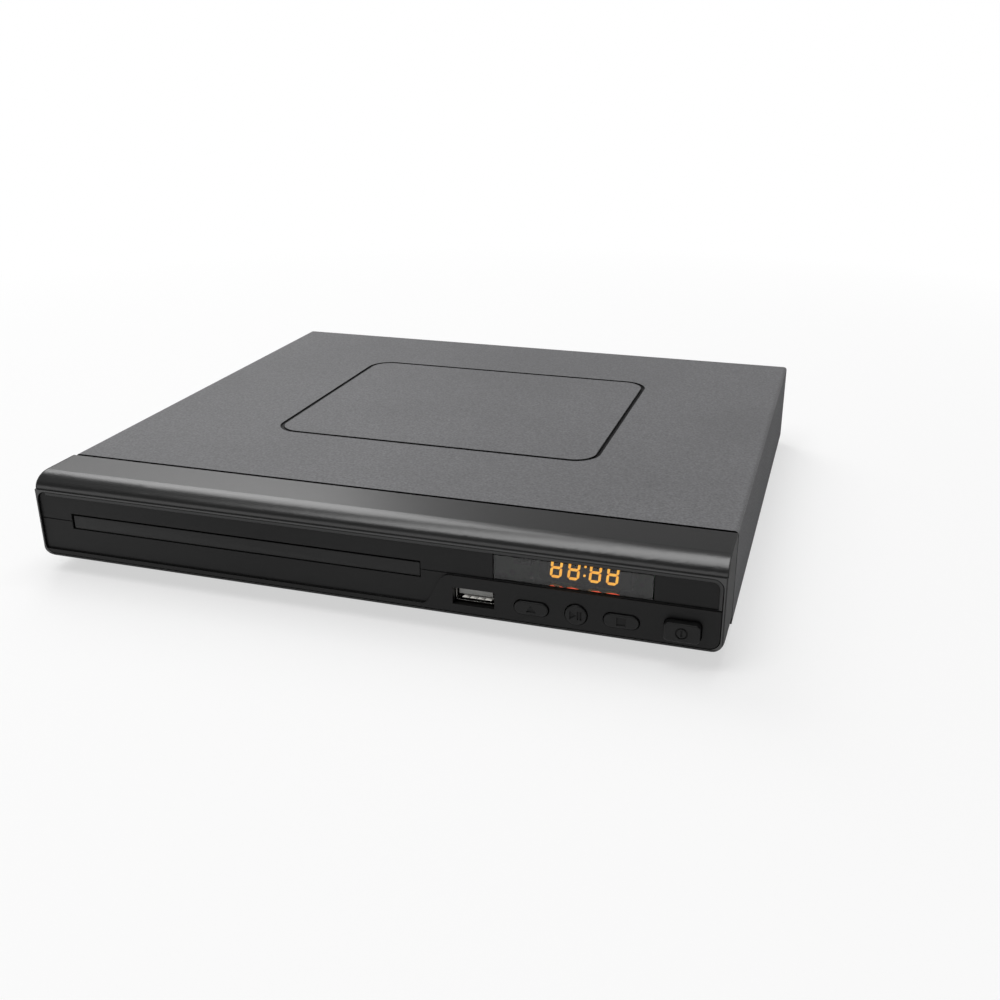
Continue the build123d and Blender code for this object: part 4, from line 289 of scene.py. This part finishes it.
FINISHES = {
    "top_cover": powder_coat("graphite_powder_coat"),
    "bottom_chassis": metal("zinc_coated_steel", "#8b8d8f", "#b6b8b9", (0.32, 0.42), 3.0, 0.004),
    "front_bezel": satin_abs("satin_bezel_abs"),
    "fascia_plate": FASCIA_ABS,
    "tray_door": DOOR_ABS,
    "eject_button play_button stop_button": marked_button("fine_grained_key_abs", -1.35),
    "power_button": marked_button("fine_grained_power_abs", -3.15),
    "display_window": smoked_acrylic("smoked_acrylic"),
    "feet drive_belt dampers turntable_pad":
        moulded("black_rubber", "#0b0b0b", "#1f1f1e", (0.7, 0.85), IOR=1.52, level=0.3, grain=0.5, depth=0.03,
                patch=12.0),
    "case_screws board_screws loader_screws mech_screws":
        metal("black_oxide_steel", "#222223", "#4d4d4e", (0.3, 0.45), 0.6, 0.008),
    "front_board main_board power_board": circuit_board("green_solder_mask"),
    "key_switches led_display ir_receiver main_chips jack_housing mains_inlet":
        moulded("black_epoxy", "#0f0f0f", "#222222", (0.45, 0.6), IOR=1.55),
    "eject_plunger play_plunger stop_plunger power_plunger": NYLON,
    "port_tongue": moulded("grey_nylon", "#8b8b88", "#bdbdb9", (0.4, 0.5), IOR=1.53, grain=0.6),
    "front_ribbon": ribbon_cable("white_ribbon_cable"),
    "led_segments": AMBER,
    "port_shell video_socket jack_barrels": NICKEL,
    "loader_frame disc_tray clamper_bridge traverse_frame pickup lens_holder":
        moulded("black_loader_abs", "#101010", "#252525", (0.38, 0.5), grain=0.35, depth=0.012),
    "motor_pulley pulley_gear tray_gear cam_slider sled_pinion sled_gear turntable clamper":
        moulded("white_acetal", "#c8c7bf", "#ecebe4", (0.28, 0.36), IOR=1.48, grain=0.8, depth=0.008),
    "loader_motor spindle_motor sled_motor guide_rods mech_plate":
        metal("drawn_motor_steel", "#8c8c8a", "#cbcbc7", (0.22, 0.36), 0.3, 0.006, (1, 1, 20)),
    "clamp_magnet": moulded("sintered_ferrite", "#1e1d1c", "#383634", (0.6, 0.75), grain=0.4, depth=0.02),
    "transformer":
        moulded("polyester_tape", "#ab7e1c", "#d6a63a", (0.3, 0.42), IOR=1.57, grain=1.0, depth=0.02, patch=3.0,
                drawn=(20, 20, 1)),
    "capacitors": moulded("shrunk_can_sleeve", "#151b2b", "#2a334a", (0.3, 0.4), grain=1.0, patch=4.0),
    "objective_lens": lens_glass("coated_lens_glass"),
}
for names, material in FINISHES.items():
    for name in names.split():
        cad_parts[name].data.materials.clear()
        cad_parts[name].data.materials.append(material)


# Small pieces
SHARP = radians(40)


def shell(name, groups, ends=True, around=False):
    """A mesh through groups of loops: faces join each loop to the next, and then close the ends or go around."""
    mesh = bpy.data.meshes.new(name)
    build = bmesh.new()
    for loops in groups:
        rows = [[build.verts.new(point) for point in loop] for loop in loops]
        for first, second in zip(rows, rows[1:] + rows[:1] if around else rows[1:]):
            for i in range(len(first)):
                build.faces.new((first[i - 1], first[i], second[i], second[i - 1]))
        if ends:
            build.faces.new(rows[0])
            build.faces.new(rows[-1])
    bmesh.ops.recalc_face_normals(build, faces=build.faces)
    build.to_mesh(mesh)
    build.free()
    mesh.shade_smooth()
    mesh.set_sharp_from_angle(angle=SHARP)
    return mesh


def put(name, mesh, material):
    """An object in the scene with one material."""
    thing = bpy.data.objects.new(name, mesh)
    bpy.context.scene.collection.objects.link(thing)
    mesh.materials.append(material)
    return thing


def piece(name, mesh, material, body):
    """A finished piece that moves with a body."""
    thing = put(name, mesh, material)
    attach(thing, body)


# Raised bead along the top of the fascia and down its right side to the seam
RIM_TOP, RIM_RIGHT, RIM_CORNER = 30.85, 119.05, 3.25
RIM_WIDE, RIM_PROUD, RIM_SOFT, RIM_SUNK = 1.25, 0.55, 0.2, 0.1
RIM_STEPS, RIM_LEAD = 12, 4.0
rim_turn = [radians(90 - 90 / RIM_STEPS * step) for step in range(RIM_STEPS + 1)]
rim_x, rim_z = RIM_RIGHT - RIM_CORNER, RIM_TOP - RIM_CORNER
rim_line = ([(-rim_x, RIM_TOP, 0, 1), (rim_x - RIM_LEAD, RIM_TOP, 0, 1)]
            + [(rim_x + RIM_CORNER * cos(a), rim_z + RIM_CORNER * sin(a), cos(a), sin(a)) for a in rim_turn]
            + [(RIM_RIGHT, SEAM_Z, 1, 0)])
rim_front, rim_back = FASCIA_Y - RIM_PROUD, FASCIA_Y + RIM_SUNK
rim_section = [(0, rim_back), (0, rim_front + RIM_SOFT), (-RIM_SOFT, rim_front), (RIM_SOFT - RIM_WIDE, rim_front),
               (-RIM_WIDE, rim_front + RIM_SOFT), (-RIM_WIDE, rim_back)]
rim_loops = [[at(x + a * out_x, y, z + a * out_z) for a, y in rim_section] for x, z, out_x, out_z in rim_line]
piece("fascia_rim", shell("fascia_rim", [rim_loops]), RIM_ABS, "case")

# Facing of the tray door, nearly flush in its slot, with the wider gaps at the top and at the left
SLOT_X, SLOT_Z = (-106.7, 23.9), (17.87, 23.6)
GAP_LEFT, GAP_RIGHT, GAP_BELOW, GAP_ABOVE = 0.55, 0.35, 0.15, 0.7
DOOR_Y, DOOR_BACK = 0.15, 1.35
DOOR_CORNER, DOOR_ROLL, DOOR_STEPS = 0.4, 0.2, 4
door_left, door_right = SLOT_X[0] + GAP_LEFT + DOOR_CORNER, SLOT_X[1] - GAP_RIGHT - DOOR_CORNER
door_low, door_high = SLOT_Z[0] + GAP_BELOW + DOOR_CORNER, SLOT_Z[1] - GAP_ABOVE - DOOR_CORNER
door_centres = (door_right, door_high), (door_left, door_high), (door_left, door_low), (door_right, door_low)
door_turn = [90 / DOOR_STEPS * step for step in range(DOOR_STEPS + 1)]
door_line = [(x, z, radians(90 * corner + turn)) for corner, (x, z) in enumerate(door_centres) for turn in door_turn]
door_section = [(DOOR_CORNER, DOOR_BACK)] + [
    (DOOR_CORNER - DOOR_ROLL * (1 - cos(radians(turn))), DOOR_Y + DOOR_ROLL * (1 - sin(radians(turn))))
    for turn in door_turn]
door_loops = [[at(x + a * cos(turn), y, z + a * sin(turn)) for x, z, turn in door_line] for a, y in door_section]
piece("door_facing", shell("door_facing", [door_loops]), DOOR_ABS, "tray")

# Painted glow: bars that stand in for the digits' light leaving the lower edge of the window, thinning out to their
# ends
GLOW_Z, GLOW_TIP, GLOW_STEPS = 21.18, 0.08, 10
GLOW_SECTION = ((-0.04, 0), (-0.04, 1), (0.05, 1), (0.05, 0))
# Each bar's middle, width and height
GLOW_BARS = ((67.2, 1.7, 0.15), (70.0, 1.2, 0.13), (73.5, 3.7, 0.25), (81.0, 3.2, 0.23), (86.2, 4.0, 0.25))
glow_shares = [step / GLOW_STEPS for step in range(GLOW_STEPS + 1)]
glow_groups = []
for middle, wide, tall in GLOW_BARS:
    glow_line = [(middle + (share - 0.5) * wide, tall * max(GLOW_TIP, sin(pi * share))) for share in glow_shares]
    glow_groups.append([[at(x, FASCIA_Y + y, GLOW_Z + z * rise) for y, z in GLOW_SECTION] for x, rise in glow_line])
piece("window_edge_glow", shell("window_edge_glow", glow_groups), RED_EDGE, "case")

# Leaf springs of the data port, slanting up to the underside of its tongue
SPRING_X = (36.9, 39.4, 41.9, 44.4)
SPRING_WIDE, SPRING_SLANT, SPRING_THICK = 2.3, 1.1, 0.15
SPRING_LINE = ((1.9, 11.75), (2.0, 12.2), (2.3, 12.75), (3.4, 13.05), (6.0, 13.0))
SPRING_FOOT = SPRING_LINE[0][1]
SPRING_SECTION = ((0, 0, 0), (1, 0, 0), (1, SPRING_THICK, 0.05), (0, SPRING_THICK, 0.05))
spring_groups = [[[at(x + side * SPRING_WIDE + (z - SPRING_FOOT) * SPRING_SLANT, y + back, z - down)
                   for side, back, down in SPRING_SECTION] for y, z in SPRING_LINE] for x in SPRING_X]
piece("port_springs", shell("port_springs", spring_groups), NICKEL, "case")

# Coloured insulators in the mouths of the rear jacks, which tell the leads apart
JACK_Z, INSULATOR_Y = 17.6, 223.35
JACKS = {"yellow": (40, "#bd9610", "#e8c236"), "white": (52, "#c4c4be", "#eeeee9"),
         "red": (64, "#8e1512", "#c4302b"), "orange": (76, "#b65513", "#e58131")}
RING_SECTION = ((1.75, 0.0), (1.75, 0.2), (1.95, 0.35), (3.2, 0.35), (3.4, 0.2), (3.4, 0.0))
RING_STEPS = 40
ring_turns = [2 * pi * step / RING_STEPS for step in range(RING_STEPS)]
for colour, (x, dark, light) in JACKS.items():
    ring_loops = [[at(x + r * cos(turn), INSULATOR_Y + y, JACK_Z + r * sin(turn)) for r, y in RING_SECTION]
                  for turn in ring_turns]
    ring = shell(f"jack_ring_{colour}", [ring_loops], ends=False, around=True)
    finish = moulded(f"{colour}_nylon", dark, light, (0.35, 0.45), IOR=1.53, grain=0.5, patch=4.0)
    piece(f"jack_ring_{colour}", ring, finish, "case")


# Floor, light and camera, in metres
PAPER_NEAR, PAPER_FAR, PAPER_LIT = 0.15, 0.6, 0.6


def studio_paper(name):
    """Matt white paper on a light table: it takes a pale shadow near the player and is an even white further out."""
    material, tree, shader, place = start(name, Base_Color="#f8f8f8", Roughness=0.9, Specular_IOR_Level=0.1)
    path = add(tree, "ShaderNodeLightPath", {}).outputs
    seen = add(tree, "ShaderNodeMath", {0: path["Is Camera Ray"], 1: path["Is Glossy Ray"]}, operation="ADD")
    seen = add(tree, "ShaderNodeMath", {0: seen, 1: path["Is Transmission Ray"]}, operation="ADD", use_clamp=True)
    reach = add(tree, "ShaderNodeVectorMath", {0: place}, operation="LENGTH").outputs["Value"]
    away = add(tree, "ShaderNodeMapRange", {"Value": reach, "From Min": PAPER_NEAR, "From Max": PAPER_FAR,
                                            "To Min": PAPER_LIT})
    share = add(tree, "ShaderNodeMath", {0: seen, 1: away}, operation="MULTIPLY")
    white = add(tree, "ShaderNodeEmission", {"Color": "#ffffff", "Strength": 1.0})
    mixed = add(tree, "ShaderNodeMixShader", {0: share, 1: shader, 2: white})
    tree.links.new(mixed.outputs["Shader"], tree.nodes["Material Output"].inputs["Surface"])
    return material


# Round floor whose rim rises far away in a smooth curve, so that no horizon shows in low views
FLOOR_EYE, FLOOR_FLAT, FLOOR_REACH, FLOOR_RISE = 0.001, 1.2, 12.0, 2.75
FLOOR_STEPS, RIM_RINGS = 96, 16
floor_turns = [2 * pi * step / FLOOR_STEPS for step in range(FLOOR_STEPS)]
floor_rise = [(FLOOR_EYE, 0.0), (FLOOR_FLAT, 0.0)] + [
    (FLOOR_FLAT + (FLOOR_REACH - FLOOR_FLAT) * step / RIM_RINGS, FLOOR_RISE * (step / RIM_RINGS) ** 2)
    for step in range(1, RIM_RINGS + 1)]
floor_loops = [[(r * cos(turn), r * sin(turn), z) for turn in floor_turns] for r, z in floor_rise]
floor_mesh = shell("studio_floor", [floor_loops], ends=False)
put("studio_floor", floor_mesh, studio_paper("white_studio_paper"))

# Softboxes by name: place, size and power in watts; each faces the player
SOFTBOXES = {"overhead_box": ((-0.05, -0.1, 1.1), (0.5, 1.4), 9.5),
             "rear_left_box": ((-0.7, 0.8, 1.06), (0.7, 1.0), 7.5)}
for name, (spot, size, power) in SOFTBOXES.items():
    light = bpy.data.lights.new(name, "AREA")
    light.shape = "RECTANGLE"
    light.size, light.size_y = size
    light.energy = power
    lamp = bpy.data.objects.new(name, light)
    bpy.context.scene.collection.objects.link(lamp)
    lamp.location = spot
    lamp.rotation_euler = (-Vector(spot)).to_track_quat("-Z", "Y").to_euler()
    lamp.visible_camera = False

world = bpy.data.worlds.new("studio")
world.use_nodes = True
sky = world.node_tree.nodes["Background"].inputs
sky["Color"].default_value = linear("#ffffff")
sky["Strength"].default_value = 0.15
bpy.context.scene.world = world
bpy.context.scene.view_settings.view_transform = "Standard"

# Camera as solved from the case's edges
camera = bpy.data.cameras.new("front_camera")
camera.sensor_width = 36.0
camera.lens = 40.41
viewer = bpy.data.objects.new("front_camera", camera)
bpy.context.scene.collection.objects.link(viewer)
viewer.location = (0.14537, -0.40859, 0.17755)
viewer.rotation_euler = (radians(67.4587), radians(0.2797), radians(17.533))
bpy.context.scene.camera = viewer
